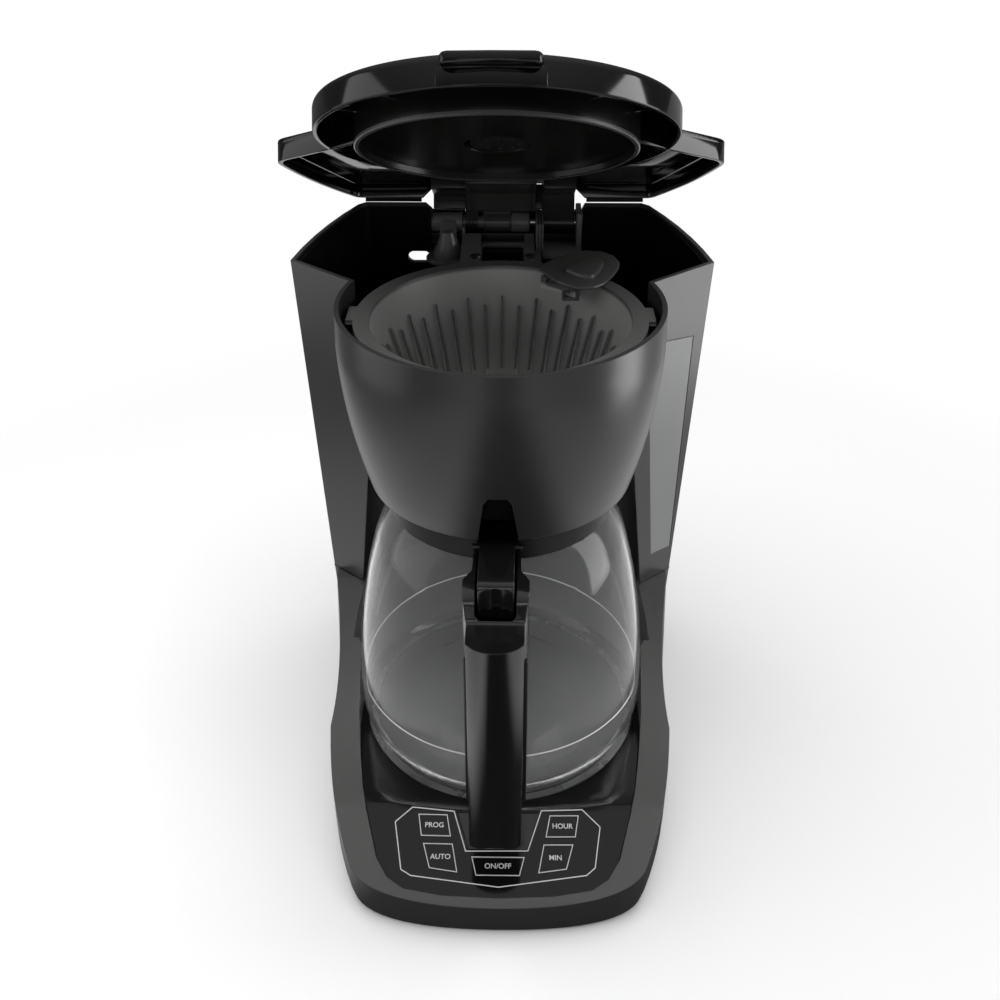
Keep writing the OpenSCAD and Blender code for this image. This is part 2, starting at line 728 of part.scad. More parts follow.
module control_board() {
    color("#1d4a2c") from_axis() on_slope() difference() {
        translate([-46, 2, -board_drop]) cube([92, 37, 1.6]);
        for (s = [-1, 1]) translate([s * 43, 5, -board_drop - 1]) cylinder(h = 5, r = screw_r);
    }
}

module board_switches() {
    low = 1.7 - board_drop;
    body_h = board_drop - key_depth - button_travel - 3.2;
    color("#303030") from_axis() on_slope() {
        for (s = switch_spots) translate([s[0], s[1], low]) {
            translate([-3, -3, 0]) cube([6, 6, body_h]);
            cylinder(h = body_h + 1.2, r = 1.7, $fn = 32);
        }
        // frame that holds the display at its height
        translate([-14, 7, low]) difference() {
            cube([28, 14, board_drop - 1.7 - 5]);
            translate([2, 2, -1]) cube([24, 10, 20]);
        }
    }
}

module warming_plate() {
    color("#2a2a2a") from_axis() difference() {
        translate([0, 0, plate_z - 5]) cylinder(h = 5, r = plate_r);
        translate([0, 0, plate_z - 6]) cylinder(h = 4.8, r = plate_r - 1.2);
    }
}

module plate_ring() {
    color("#8a8a8a") from_axis() difference() {
        translate([0, 0, plate_z - 5]) cylinder(h = 4.4, r = plate_r + 4.3);
        translate([0, 0, plate_z - 6]) cylinder(h = 10, r = plate_r + fit_gap);
    }
}

heater_r = 44;
heater_z = plate_z - 1.2 - 4.4;

module heating_element() {
    color(steel) from_axis() translate([0, 0, heater_z]) rotate([0, 0, 120]) rotate_extrude(angle = 300)
        translate([heater_r, 0]) circle(r = 4.2, $fn = 32);
}

module water_channel() {
    color("#c9cacc") from_axis() translate([0, 0, heater_z - 8.6]) rotate([0, 0, 120]) rotate_extrude(angle = 300)
        translate([heater_r, 0]) difference() {
            circle(r = 4.2, $fn = 32);
            circle(r = 3, $fn = 32);
        }
}

module heater_clamp() {
    color(steel) from_axis() translate([-60, -8, heater_z - 14.6]) cube([120, 16, 1.4]);
}

module thermostat() {
    color("#d8d8d0") from_axis() translate([0, 0, heater_z - 13]) cylinder(h = 9, r = 8);
}

module thermal_fuse() {
    color("#c8a060") from_axis() rod(14, 30, 2, 0, heater_z - 11);
}

// A run of straight tubes with round fittings at its corners
module tube_run(path, r) {
    for (i = [0:len(path) - 2]) {
        d = path[i + 1] - path[i];
        translate(path[i]) rotate([0, acos(d[2] / norm(d)), atan2(d[1], d[0])]) cylinder(h = norm(d), r = r, $fn = 32);
    }
    if (len(path) > 2) for (i = [1:len(path) - 2]) translate(path[i]) rotate([24, 38, 0]) sphere(r = r + 0.8, $fn = 32);
}

// Ends of the heating tube and of the water tube beneath it, behind the middle
function ring_end(side, z) = [side * heater_r * sin(30), heater_r * cos(30), z];
function hose_path(from, top, side) = let (z = heater_z - 8.6, e = ring_end(side, z)) [[from[0], from[1], top],
    [from[0], from[1], z], [e[0] - side * 4.6, 64, z], e + [-side * 7, 4.04, 0], e + [-side * 0.1, 0.06, 0]];
cold_path = hose_path(outlet, tank_floor_z - 19, 1);
hot_path = hose_path(riser, 59.7, -1);

module cold_hose() {
    color(rubber_black) from_axis() tube_run(cold_path, 4);
}

module check_valve() {
    color("#d8d8d0") from_axis() translate([outlet[0], outlet[1], tank_floor_z - 18.7]) {
        cylinder(h = 18.4, r = 7);
        cylinder(h = 21.5, r = 5.7);
    }
}

module hot_hose() {
    color(rubber_black) from_axis() tube_run(hot_path, 4);
}

module cord_inlet() {
    color(liner_black) from_axis() translate([-55, back_y + 1.6, 20]) rotate([90, 0, 0]) difference() {
        union() {
            cylinder(h = 9, r = 6.7);
            cylinder(h = 1.5, r = 9);
        }
        translate([0, 0, -1]) cylinder(h = 20, r = 3.6);
    }
}

// ---- hinge on the housing ----

module riser_tube() {
    color(steel) from_axis() translate([riser[0], riser[1], 60]) difference() {
        cylinder(h = hinge_z - 11 - 60, r = riser_r);
        translate([0, 0, -1]) cylinder(h = 300, r = 3.6);
    }
}

module riser_elbow() {
    color(liner_black) from_axis() difference() {
        union() {
            rod(riser[0] - 7.5, riser[0] + 7.5, knuckle_r + 0.2, hinge_y, hinge_z);
            translate([riser[0], riser[1], hinge_z - 15]) cylinder(h = 12, r = riser_r + 2.6);
            translate([riser[0] - 4, riser[1], hinge_z - 6]) cube([8, hinge_y - riser[1], 5]);
        }
        translate([riser[0], riser[1], hinge_z - 16]) cylinder(h = 5.3, r = riser_r + pin_gap);
        translate([riser[0], riser[1], hinge_z - 16]) cylinder(h = 11.5, r = 2.6);
        rod(riser[0] - 6, riser[0] + 10, swivel_r + pin_gap, hinge_y, hinge_z);
        translate([riser[0], riser[1], hinge_z - 3.6]) rotate([-90, 0, 0]) cylinder(h = hinge_y - riser[1], r = 1.6);
        translate([riser[0], riser[1], hinge_z - 6]) cylinder(h = 3, r = 1.6);
    }
}

module swivel_tube() {
    color("#3a3a3a") from_axis() difference() {
        rod(riser[0] - 5.6, 16, swivel_r, hinge_y, hinge_z);
        rod(riser[0] - 7, 12, 2.2, hinge_y, hinge_z);
    }
}

module hinge_bridge() {
    front_y = head_y + well_ring_r + 1;
    end_y = hinge_y - 8;
    color("#2b2b2b") from_axis() difference() {
        union() {
            translate([-21, front_y, bridge_z]) cube([42, end_y - front_y, bridge_t]);
            translate([17, end_y - 20, bridge_z]) cube([25, 20, bridge_t]);
            for (x = [17, 39]) {
                rod(x, x + 3, knuckle_r + 1, hinge_y, hinge_z);
                translate([x, end_y - 10, bridge_z]) cube([3, hinge_y - end_y + 10, 6]);
            }
            translate([17, end_y - 50, bridge_z]) cube([3, 50, 7]);
            // sill that rests on the housing's cut-out
            translate([fit_gap + 3.6 - hinge_half, end_y + 3, bridge_z - 7 + fit_gap])
                cube([2 * hinge_half - 3.6 - 2 * fit_gap, 5.5, 3.4]);
            translate([-21, end_y - 5, bridge_z - 7 + fit_gap]) cube([42, 10, 3.4]);
            translate([-21, end_y - 5, bridge_z - 4]) cube([42, 5, 5]);
        }
        translate([-11, end_y - 38, bridge_z - 1]) cube([22, 20, 20]);
        for (s = [-1, 1]) translate([s * 17 - 3, front_y + 2.5, bridge_z - 1]) cube([6, 3, 20]);
        rod(10, 50, hinge_pin_r + pin_gap, hinge_y, hinge_z);
    }
}

module hinge_pin() {
    color(steel) from_axis() rod(17.2, 41.8, hinge_pin_r, hinge_y, hinge_z);
}

module housing_screws() {
    color(steel) from_axis() for (s = [-1, 1]) translate([s * 13.8, head_y + well_ring_r + 14, bridge_z + bridge_t])
        cylinder(h = 1.2, r = 2.6);
}

// ---- lid, laid out closed and then turned open ----

module lid_plan(inset) {
    g = lid_overhang - inset;
    w = rim_width / 2 + g;
    polygon(both_sides(concat([[front_x, corner_y - 3 - oblique * (w - front_x)], [w - 3, corner_y - 3 - 3 * oblique],
        [w, corner_y - 1]], curve([w, corner_y], [(w + back_width / 2 + g) / 2 + side_bulge, (corner_y + back_y) / 2],
        [back_width / 2 + g, back_y - 5], 8), [[back_width / 2 + g - 5, back_y + 0.6 - inset]])));
}

module lid_solid(inset, top_skin) {
    translate([0, 0, lid_z]) linear_extrude(wing_h - top_skin) lid_plan(inset);
    translate([0, 1, lid_z]) cylinder(h = lid_h - top_skin - 2.5, r = lid_r - inset);
    translate([0, 1, lid_z + lid_h - top_skin - 2.5]) cylinder(h = 2.5, r1 = lid_r - inset, r2 = lid_r - inset - 4);
}

module lid_cover() {
    color(gloss_black) from_axis() opened() difference() {
        lid_solid(0, 0);
        translate([0, 0, -0.01]) lid_solid(wall, wall);
        translate([-plate_half - fit_gap, back_y - 10, lid_z - 1]) cube([2 * (plate_half + fit_gap), 30, wing_h - wall + 1]);
    }
}

module lid_tab() {
    color(gloss_black) from_axis() opened() translate([-tab_width / 2 - 1, 1 - lid_r - 5.6, lid_top_z - 6.6]) difference() {
        cube([tab_width, 8, 4]);
        translate([-1, 5.4, -1]) cube([tab_width + 2, 10, 6]);
    }
}

module splash_ring() {
    low = lid_z - 5.8;
    color(gloss_black) from_axis() opened() from_head() difference() {
        translate([0, 0, low]) cylinder(h = lid_top_z - wall - 0.2 - low, r = splash_r);
        translate([0, 0, low - 1]) cylinder(h = 4, r = splash_r - 2);
        translate([0, 0, low + 5]) cylinder(h = 30, r = splash_r - 2);
        translate([0, 0, low - 2]) cylinder(h = 30, r = 14);
        translate([-20.5, 0, low + 4.9]) cube([40, 100, 30]);
    }
}

module lid_hinge() {
    skin = lid_z + wing_h - wall - 0.2;
    color(gloss_black) from_axis() opened() difference() {
        union() {
            for (x = [knuckle_spans[0], knuckle_spans[2]]) {
                rod(x[0], x[1], knuckle_r, hinge_y, hinge_z);
                translate([x[0], hinge_y - knuckle_r, hinge_z]) cube([x[1] - x[0], 2 * knuckle_r - 2.6, skin - hinge_z]);
            }
            translate([-plate_half, hinge_y - 22, lid_z + 1]) cube([plate_half - 14, 17.4, skin - lid_z - 1]);
            translate([21, hinge_y - 22, lid_z + 1]) cube([plate_half - 21, 17.4, skin - lid_z - 1]);
            // plates that close the gap beside the water arm
            for (x = [[-plate_half, knuckle_spans[1][0] - fit_gap], [knuckle_spans[1][1] + fit_gap, plate_half]])
                translate([x[0], hinge_y - 1, hinge_z + knuckle_r + 2]) cube([x[1] - x[0], 3.6, skin - hinge_z - knuckle_r - 2]);
        }
        rod(-25, 0, swivel_r + pin_gap, hinge_y, hinge_z);
        rod(0, 50, hinge_pin_r + pin_gap, hinge_y, hinge_z);
    }
}

module water_arm() {
    low = lid_z + 0.4;
    color("#2b2b2b") from_axis() opened() difference() {
        union() {
            translate([-9, 0, low]) cube([18, 70, 7]);
            translate([-20, 70, low]) cube([36, back_y - wall - 70.4, 7]);
            from_head() translate([0, 0, low - 1]) cylinder(h = 8, r = 12);
            rod(knuckle_spans[1][0], knuckle_spans[1][1], knuckle_r, hinge_y, hinge_z);
            translate([knuckle_spans[1][0], hinge_y - 4, hinge_z]) cube([15, 6.5, low + 2 - hinge_z]);
        }
        rod(-12, 5, swivel_r + pin_gap, hinge_y, hinge_z);
        from_head() translate([0, 0, low - 2]) cylinder(h = 6, r = 8);
        for (x = [-25.2, 12.6]) translate([x, hinge_y - 23, low - 1]) cube([11.4, 40, 20]);
    }
}

module shower_head() {
    low = lid_z - 2.4;
    color("#202020") from_axis() opened() from_head() difference() {
        translate([0, 0, low]) cylinder(h = 1.7, r = 13.4);
        for (i = [0:7]) rotate([0, 0, 45 * i]) translate([8, 0, low - 1]) cylinder(h = 5, r = 1.1, $fn = 24);
    }
}

base_shell();
bottom_cover();
rubber_feet();
cover_screws();
deck_panel();
display_lens();
lcd_module();
control_board();
board_switches();
warming_plate();
plate_ring();
heating_element();
water_channel();
heater_clamp();
thermostat();
thermal_fuse();
cold_hose();
check_valve();
hot_hose();
cord_inlet();
upper_housing();
water_window();
water_tank();
tank_grommet();
basket_well();
riser_tube();
riser_elbow();
swivel_tube();
hinge_bridge();
hinge_pin();
housing_screws();
lid_cover();
lid_tab();
splash_ring();
lid_hinge();
water_arm();
shower_head();
filter_basket();
basket_handle();
drip_valve();
valve_spring();
valve_cage();
carafe_glass();
carafe_collar();
carafe_handle();
handle_insert();
handle_screw();
lid_pin();
carafe_lid();
prog_button();
auto_button();
power_button();
hour_button();
minute_button();
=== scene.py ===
import bpy
import json
import math
from mathutils import Matrix, Vector


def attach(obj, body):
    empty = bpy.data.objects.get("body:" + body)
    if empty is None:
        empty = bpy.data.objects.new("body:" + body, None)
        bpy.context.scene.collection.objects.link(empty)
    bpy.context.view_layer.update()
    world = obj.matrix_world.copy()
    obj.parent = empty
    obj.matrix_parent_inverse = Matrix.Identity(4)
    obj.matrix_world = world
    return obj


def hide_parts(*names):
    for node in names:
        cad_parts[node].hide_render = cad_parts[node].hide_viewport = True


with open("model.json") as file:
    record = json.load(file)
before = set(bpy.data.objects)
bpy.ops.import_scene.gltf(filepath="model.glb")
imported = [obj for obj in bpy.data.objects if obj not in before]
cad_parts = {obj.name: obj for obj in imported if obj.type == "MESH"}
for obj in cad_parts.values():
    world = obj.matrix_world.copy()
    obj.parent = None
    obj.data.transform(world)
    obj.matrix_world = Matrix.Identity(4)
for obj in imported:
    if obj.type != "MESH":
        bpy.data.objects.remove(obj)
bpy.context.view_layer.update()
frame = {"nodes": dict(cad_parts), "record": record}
nodes = frame["nodes"]
axisY = -0.009  # brew axis from the origin, metres
headY = -1.5  # middle of the brew head from the brew axis, millimetres

# Camera

cameraSpot = {"place": (0.0055, -0.4531, 0.4694), "turn": 0.75, "tilt": 33.88, "lens": 38.736}


def makeCamera(spot):
    data = bpy.data.cameras.new("camera")
    data.sensor_width = 36.0
    data.lens = spot["lens"]
    data.clip_start = 0.01
    data.clip_end = 50.0
    camera = bpy.data.objects.new("camera", data)
    bpy.context.scene.collection.objects.link(camera)
    camera.location = spot["place"]
    camera.rotation_euler = (math.radians(90.0 - spot["tilt"]), 0.0, math.radians(spot["turn"]))
    bpy.context.scene.camera = camera


makeCamera(cameraSpot)
bpy.context.scene.view_settings.view_transform = "Standard"

# Shader maths


class Num:
    # one number socket; sums and products of it add Math nodes
    def __init__(self, shader, socket):
        self.shader = shader
        self.socket = socket

    def math(self, operation, *values):
        values = values if len(values) > 1 else (self, *values)
        return self.shader.node("Math", {"operation": operation}, values)

    def __add__(self, other):
        return self.math("ADD", self, other)

    def __radd__(self, other):
        return self.math("ADD", other, self)

    def __sub__(self, other):
        return self.math("SUBTRACT", self, other)

    def __rsub__(self, other):
        return self.math("SUBTRACT", other, self)

    def __mul__(self, other):
        return self.math("MULTIPLY", self, other)

    def __rmul__(self, other):
        return self.math("MULTIPLY", other, self)

    def __pow__(self, other):
        return self.math("POWER", self, other)


class Shader:
    def __init__(self, name):
        self.material = bpy.data.materials.new(name)
        self.material.use_nodes = True
        self.tree = self.material.node_tree
        self.tree.nodes.clear()

    def put(self, socket, value):
        if isinstance(value, Num):
            self.tree.links.new(value.socket, socket)
        elif hasattr(value, "is_output"):
            self.tree.links.new(value, socket)
        elif isinstance(value, (tuple, list)) and socket.type == "RGBA" and len(value) == 3:
            socket.default_value = (*value, 1.0)
        else:
            socket.default_value = value

    # adds a node: its settings first, then its sockets by place or by name
    def node(self, kind, settings=None, values=(), output=0):
        made = self.tree.nodes.new("ShaderNode" + kind)
        for name, value in (settings or {}).items():
            if name == "stops":
                ramp = made.color_ramp
                while len(ramp.elements) < len(value):
                    ramp.elements.new(0.5)
                for element, (place, colour) in zip(ramp.elements, value):
                    element.position = place
                    element.color = (colour, colour, colour, 1.0)
            else:
                setattr(made, name, value)
        pairs = values.items() if isinstance(values, dict) else enumerate(values)
        for key, value in pairs:
            self.put(made.inputs[key], value)
        return Num(self, made.outputs[output])

    def place(self, scale=None):
        spot = self.node("TexCoord", output="Object")
        if scale is None:
            return spot
        return self.node("Mapping", values={"Vector": spot, "Scale": scale})

    def noise(self, scale, detail=3.0, roughness=0.5, vector=None):
        return self.node("TexNoise", values={"Vector": vector or self.place(), "Scale": scale,
                                             "Detail": detail, "Roughness": roughness})

    # runs from 0 where the value is at start to 1 where it is at end
    def fade(self, value, start, end):
        return self.node("MapRange", values={"Value": value, "From Min": start, "From Max": end})

    def ramp(self, factor, *stops):
        return self.node("ValToRGB", {"stops": stops}, (factor,))

    def blend(self, factor, first, second):
        made = self.tree.nodes.new("ShaderNodeMix")
        made.data_type = "RGBA"
        self.put(made.inputs[0], factor)
        self.put(made.inputs[6], first)
        self.put(made.inputs[7], second)
        return Num(self, made.outputs[2])

    def bump(self, height, strength, distance=0.001, normal=None):
        values = {"Height": height, "Strength": strength, "Distance": distance}
        if normal is not None:
            values["Normal"] = normal
        return self.node("Bump", values=values)

    # rounds the look of edges over a small radius
    def softEdges(self, radius):
        return self.node("Bevel", {"samples": 4}, {"Radius": radius})

    def finish(self, **sockets):
        shader = self.node("BsdfPrincipled")
        made = shader.socket.node
        for name, value in sockets.items():
            self.put(made.inputs[name.replace("_", " ")], value)
        self.output = self.tree.nodes.new("ShaderNodeOutputMaterial")
        self.tree.links.new(made.outputs[0], self.output.inputs[0])
        return self.material


# Materials


# amount of painted shade in the cone-shaped bay beside the carafe, where the housing's inner wall is
# darkened as if no light reaches it
def bayShadeShare(s, bay):
    x, y, z = (s.node("SeparateXYZ", values=(s.place(),), output=i) for i in range(3))
    y = y - axisY
    radius = (x * x + y * y) ** 0.5
    inside = (z - bay["low"]) * bay["taper"] + radius
    wall = s.fade(inside, bay["radius"] + 0.0009, bay["radius"] + 0.0004)
    side = s.fade(x.math("ABSOLUTE"), bay["side"], bay["side"] + 0.008)
    under = s.fade(z, bay["top"] + 0.004, bay["top"])
    return wall * side * under


def mouldedPlastic(name, colour, roughness, edge=0.0006, bay=None):
    s = Shader(name)
    cloud = s.noise(14.0, 4.0)
    fine = s.noise(2600.0, 2.0)
    tint = s.blend(cloud * 0.5, colour, tuple(c * 1.18 for c in colour))
    # painted shade: inside the bay the housing colour is blended towards a near-black shade colour
    if bay:
        tint = s.blend(bayShadeShare(s, bay), tint, bay["colour"])
    rough = cloud * 0.10 + (roughness - 0.05)
    normal = s.bump(fine, 0.02, 0.0004, s.softEdges(edge) if edge else None)
    return s.finish(Base_Color=tint, Roughness=rough, Normal=normal)


def glossPlastic(name, colour, roughness, shine=0.5):
    s = Shader(name)
    wave = s.noise(45.0, 2.0)
    dust = s.noise(900.0, 3.0)
    tint = s.blend(dust * 0.3, colour, tuple(c * 1.6 + 0.002 for c in colour))
    rough = wave * 0.06 + (roughness - 0.03)
    normal = s.bump(wave, 0.015, 0.0006, s.softEdges(0.0006))
    return s.finish(Base_Color=tint, Roughness=rough, Normal=normal, Specular_IOR_Level=shine)


# clear glass with a faint haze; lamps shine through it
def clearGlass(name, haze=0.02):
    s = Shader(name)
    smear = s.noise(30.0, 3.0)
    normal = s.bump(s.noise(18.0, 1.0), 0.01, 0.0002)
    s.finish(Base_Color=(0.95, 0.955, 0.955), Roughness=smear * 0.03, Normal=normal,
             Transmission_Weight=1.0 - haze, IOR=1.22)
    glass = s.output.inputs[0].links[0].from_socket
    through = s.node("BsdfTransparent", values={"Color": (0.93, 0.93, 0.93)})
    path = s.tree.nodes.new("ShaderNodeLightPath")
    both = s.node("MixShader", values=(path.outputs["Is Shadow Ray"], glass, through))
    s.tree.links.new(both.socket, s.output.inputs[0])
    return s.material


def brushedSteel(name, colour=(0.55, 0.55, 0.56), roughness=0.28):
    s = Shader(name)
    lines = s.noise(60.0, 4.0, vector=s.place((1.0, 1.0, 40.0)))
    rough = lines * 0.16 + (roughness - 0.08)
    return s.finish(Base_Color=s.blend(lines, colour, tuple(c * 0.8 for c in colour)), Metallic=1.0,
                    Roughness=rough, Normal=s.bump(lines, 0.02, 0.0002))


def rubberMatt(name, colour=(0.02, 0.02, 0.02)):
    s = Shader(name)
    grain = s.noise(1800.0, 3.0)
    return s.finish(Base_Color=s.blend(grain * 0.4, colour, tuple(c * 1.8 for c in colour)),
                    Roughness=grain * 0.1 + 0.7, Normal=s.bump(grain, 0.05, 0.0003))


# basket plastic with painted light: its inside is coloured far paler than its rim, standing for light that
# falls into the basket
def basketPlastic(name, inside, rim, rimZ):
    s = Shader(name)
    z = s.node("SeparateXYZ", values=(s.place(),), output=2)
    # painted light: below the rim the colour turns to the pale inside grey
    paintedLightShare = s.fade(z, rimZ - 0.0022, rimZ - 0.0008)
    cloud = s.noise(14.0, 4.0)
    plain = s.blend(paintedLightShare, inside, rim)
    paler = s.blend(paintedLightShare, tuple(c * 1.15 for c in inside), tuple(c * 1.15 for c in rim))
    return s.finish(Base_Color=s.blend(cloud * 0.4, plain, paler), Roughness=cloud * 0.1 + 0.27,
                    Normal=s.bump(s.noise(2600.0, 2.0), 0.02, 0.0004))


def frostedWindow(name):
    s = Shader(name)
    cloud = s.noise(40.0, 4.0)
    fine = s.noise(1500.0, 2.0)
    return s.finish(Base_Color=s.blend(cloud * 0.5, (0.345, 0.35, 0.355), (0.40, 0.405, 0.41)),
                    Roughness=cloud * 0.1 + 0.33, Normal=s.bump(fine, 0.03, 0.0003))


# painted shade for the bay beside the carafe: where it falls and its near-black colour
paintedBayShade = {"radius": 0.0833, "taper": 0.15306, "low": 0.095, "side": 0.062, "top": 0.190,
           "colour": (0.003, 0.003, 0.003)}
finishes = {
    "housing_grey": mouldedPlastic("housing_grey", (0.036, 0.0355, 0.035), 0.30, bay=paintedBayShade),
    "baseGrey": mouldedPlastic("base_grey", (0.062, 0.061, 0.060), 0.32),
    "gloss_black": glossPlastic("gloss_black", (0.004, 0.004, 0.004), 0.10),
    "hingeGrey": mouldedPlastic("hinge_grey", (0.15, 0.148, 0.146), 0.34, edge=0.0002),
    # painted highlight: lighter grey for the splash ring's lower edge
    "ringEdge": mouldedPlastic("ring_edge", (0.10, 0.099, 0.097), 0.28, edge=0.0002),
    "fingerGrey": mouldedPlastic("finger_grey", (0.09, 0.089, 0.087), 0.34, edge=0.0002),
    # painted highlight: opaque light grey for the glass ring, standing for the light its ridge catches
    "glassRingHighlight": mouldedPlastic("glass_ring_highlight", (0.42, 0.42, 0.42), 0.3, edge=0.0),
    "collarSmoke": glossPlastic("collar_smoke", (0.006, 0.006, 0.006), 0.28, shine=0.2),
    "wellBlack": glossPlastic("well_black", (0.003, 0.003, 0.003), 0.45, shine=0.12),
    "hingeDark": mouldedPlastic("hinge_dark", (0.016, 0.016, 0.016), 0.30, edge=0.0002),
    "armSmoke": mouldedPlastic("arm_smoke", (0.060, 0.056, 0.054), 0.26, edge=0.0002),
    "handleGloss": glossPlastic("handle_gloss", (0.005, 0.005, 0.005), 0.16, shine=0.85),
    "liner_black": mouldedPlastic("liner_black", (0.004, 0.004, 0.004), 0.42),
    # painted light: the basket's inside grey is much paler than its rim grey
    "basket_grey": basketPlastic("basket_grey", (0.39, 0.387, 0.382), (0.10, 0.099, 0.097), 0.271),
    "carafe_glass": clearGlass("carafe_glass"),
    "window_clear": frostedWindow("window_clear"),
    "steel": brushedSteel("steel"),
    "aluminium": brushedSteel("aluminium", (0.7, 0.7, 0.71), 0.35),
    "plate_coat": mouldedPlastic("plate_coat", (0.03, 0.03, 0.03), 0.35),
    "rubber": rubberMatt("rubber"),
    "circuit_board": mouldedPlastic("circuit_board", (0.02, 0.09, 0.04), 0.4),
    "display": glossPlastic("display", (0.02, 0.022, 0.022), 0.1),
    "ceramic": mouldedPlastic("ceramic", (0.6, 0.6, 0.56), 0.35),
    "smoke": glossPlastic("smoke", (0.009, 0.009, 0.0085), 0.2),
    "print": mouldedPlastic("print", (0.62, 0.62, 0.62), 0.5, edge=0.0),
}
slotOf = {part["node"]: part["material_slot"] for part in frame["record"]["subparts"]}


def dress(piece, finish):
    piece.data.materials.clear()
    piece.data.materials.append(finish)


for name, node in nodes.items():
    dress(node, finishes[slotOf[name]])
dress(nodes["lid_pin"], finishes["hingeDark"])
print("materials are on the nodes")

# Modelling helpers: millimetres, brew axis at zero, made into metres by settle


def deselectAll():
    for item in list(bpy.context.selected_objects):
        item.select_set(False)


def only(piece):
    deselectAll()
    piece.select_set(True)
    bpy.context.view_layer.objects.active = piece


def editMode(on):
    bpy.ops.object.mode_set(mode="EDIT" if on else "OBJECT")


# draws a line of edges by extruding one vertex from point to point
def trace(name, points):
    deselectAll()
    bpy.ops.mesh.primitive_circle_add(vertices=3, radius=1.0)
    piece = bpy.context.active_object
    piece.name = name
    editMode(True)
    bpy.ops.mesh.merge(type="CENTER")
    points = [Vector(point) for point in points]
    bpy.ops.transform.translate(value=points[0])
    for before, after in zip(points, points[1:]):
        bpy.ops.mesh.extrude_region_move(TRANSFORM_OT_translate={"value": after - before})
    bpy.ops.mesh.select_all(action="SELECT")
    return piece


def tidyMesh(merge=0.0005):
    bpy.ops.mesh.select_all(action="SELECT")
    bpy.ops.mesh.remove_doubles(threshold=merge)
    bpy.ops.mesh.normals_make_consistent(inside=False)
    editMode(False)


def prism(name, outline, reach):
    piece = trace(name, outline)
    bpy.ops.mesh.edge_face_add()
    bpy.ops.mesh.extrude_region_move(TRANSFORM_OT_translate={"value": reach})
    tidyMesh()
    return piece


# a bar along X whose section is given in Y and Z
def bar(name, left, right, outline):
    return prism(name, [(left, y, z) for y, z in outline], (right - left, 0, 0))


def slab(name, low, high, outline):
    return prism(name, [(x, y, low) for x, y in outline], (0, 0, high - low))


def turned(name, profile, centre=(0, 0), steps=128, closed=False):
    if closed:
        profile = profile + profile[:1]
    piece = trace(name, [(centre[0] + r, centre[1], z) for r, z in profile])
    bpy.ops.mesh.spin(steps=steps, angle=math.tau, center=(*centre, 0), axis=(0, 0, 1))
    tidyMesh()
    return piece


def rod(name, start, end, radius, sides=32):
    start, end = Vector(start), Vector(end)
    deselectAll()
    bpy.ops.mesh.primitive_cylinder_add(vertices=sides, radius=radius, depth=(end - start).length)
    piece = bpy.context.active_object
    piece.name = name
    turn = (end - start).to_track_quat("Z", "Y").to_matrix().to_4x4()
    piece.data.transform(Matrix.Translation((start + end) / 2) @ turn)
    return piece


def change(piece, kind, **settings):
    only(piece)
    modifier = piece.modifiers.new("step", kind)
    for name, value in settings.items():
        setattr(modifier, name, value)
    bpy.ops.object.modifier_apply(modifier="step")
    return piece


def soften(piece, width, segments=3, angle=30.0):
    return change(piece, "BEVEL", width=width, segments=segments, limit_method="ANGLE",
                  angle_limit=math.radians(angle), use_clamp_overlap=True, miter_outer="MITER_ARC")


def cutBy(piece, cutter, operation="DIFFERENCE"):
    change(piece, "BOOLEAN", operation=operation, solver="EXACT", object=cutter)
    bpy.data.objects.remove(cutter)
    return piece


def joined(name, pieces):
    deselectAll()
    for piece in pieces:
        piece.select_set(True)
    bpy.context.view_layer.objects.active = pieces[0]
    if len(pieces) > 1:
        bpy.ops.object.join()
    pieces[0].name = name
    return pieces[0]


def arc(start, corner, end, steps=8):
    start, corner, end = Vector(start), Vector(corner), Vector(end)
    shares = [i / steps for i in range(steps + 1)]
    return [tuple(start * (1 - t) ** 2 + corner * (2 * t * (1 - t)) + end * t ** 2) for t in shares]


def mirrored(half):
    return half + [(-x, y) for x, y in reversed(half) if abs(x) > 0.001]


# to metres and to its place, then onto its body
def settle(piece, body, slot, replaced=(), finish=None, angle=35.0, turn=None):
    step = Matrix.Translation((0, axisY, 0)) @ Matrix.Scale(0.001, 4)
    step = step @ turn if turn else step
    piece.data.transform(step)
    if step.determinant() < 0:
        piece.data.flip_normals()
    only(piece)
    bpy.ops.object.shade_smooth_by_angle(angle=math.radians(angle))
    dress(piece, finish or finishes[slot])
    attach(piece, body)
    if replaced:
        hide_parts(*replaced)
    return piece


def turnAbout(point, angle, axis):
    turn = Matrix.Rotation(math.radians(angle), 4, axis)
    return Matrix.Translation(point) @ turn @ Matrix.Translation(-Vector(point))

# Lid, modelled closed and then opened

lid = {"rim": 78.0, "low": 279.7, "top": 292.1, "wingTop": 289.7, "wall": 2.2, "crownY": 1.0,
       "hinge": (0.0, 131.0, 267.0), "open": 28.9, "play": -0.8, "ring": 60.4, "ringLow": 273.9,
       "side": 105.5, "gap": 38.7, "back": 131.1, "lipY": 131.3, "tabHalf": 18.6}
lidTurn = turnAbout(lid["hinge"], -lid["open"], "X")
coverTurn = lidTurn @ turnAbout(lid["hinge"], lid["play"], "Z")


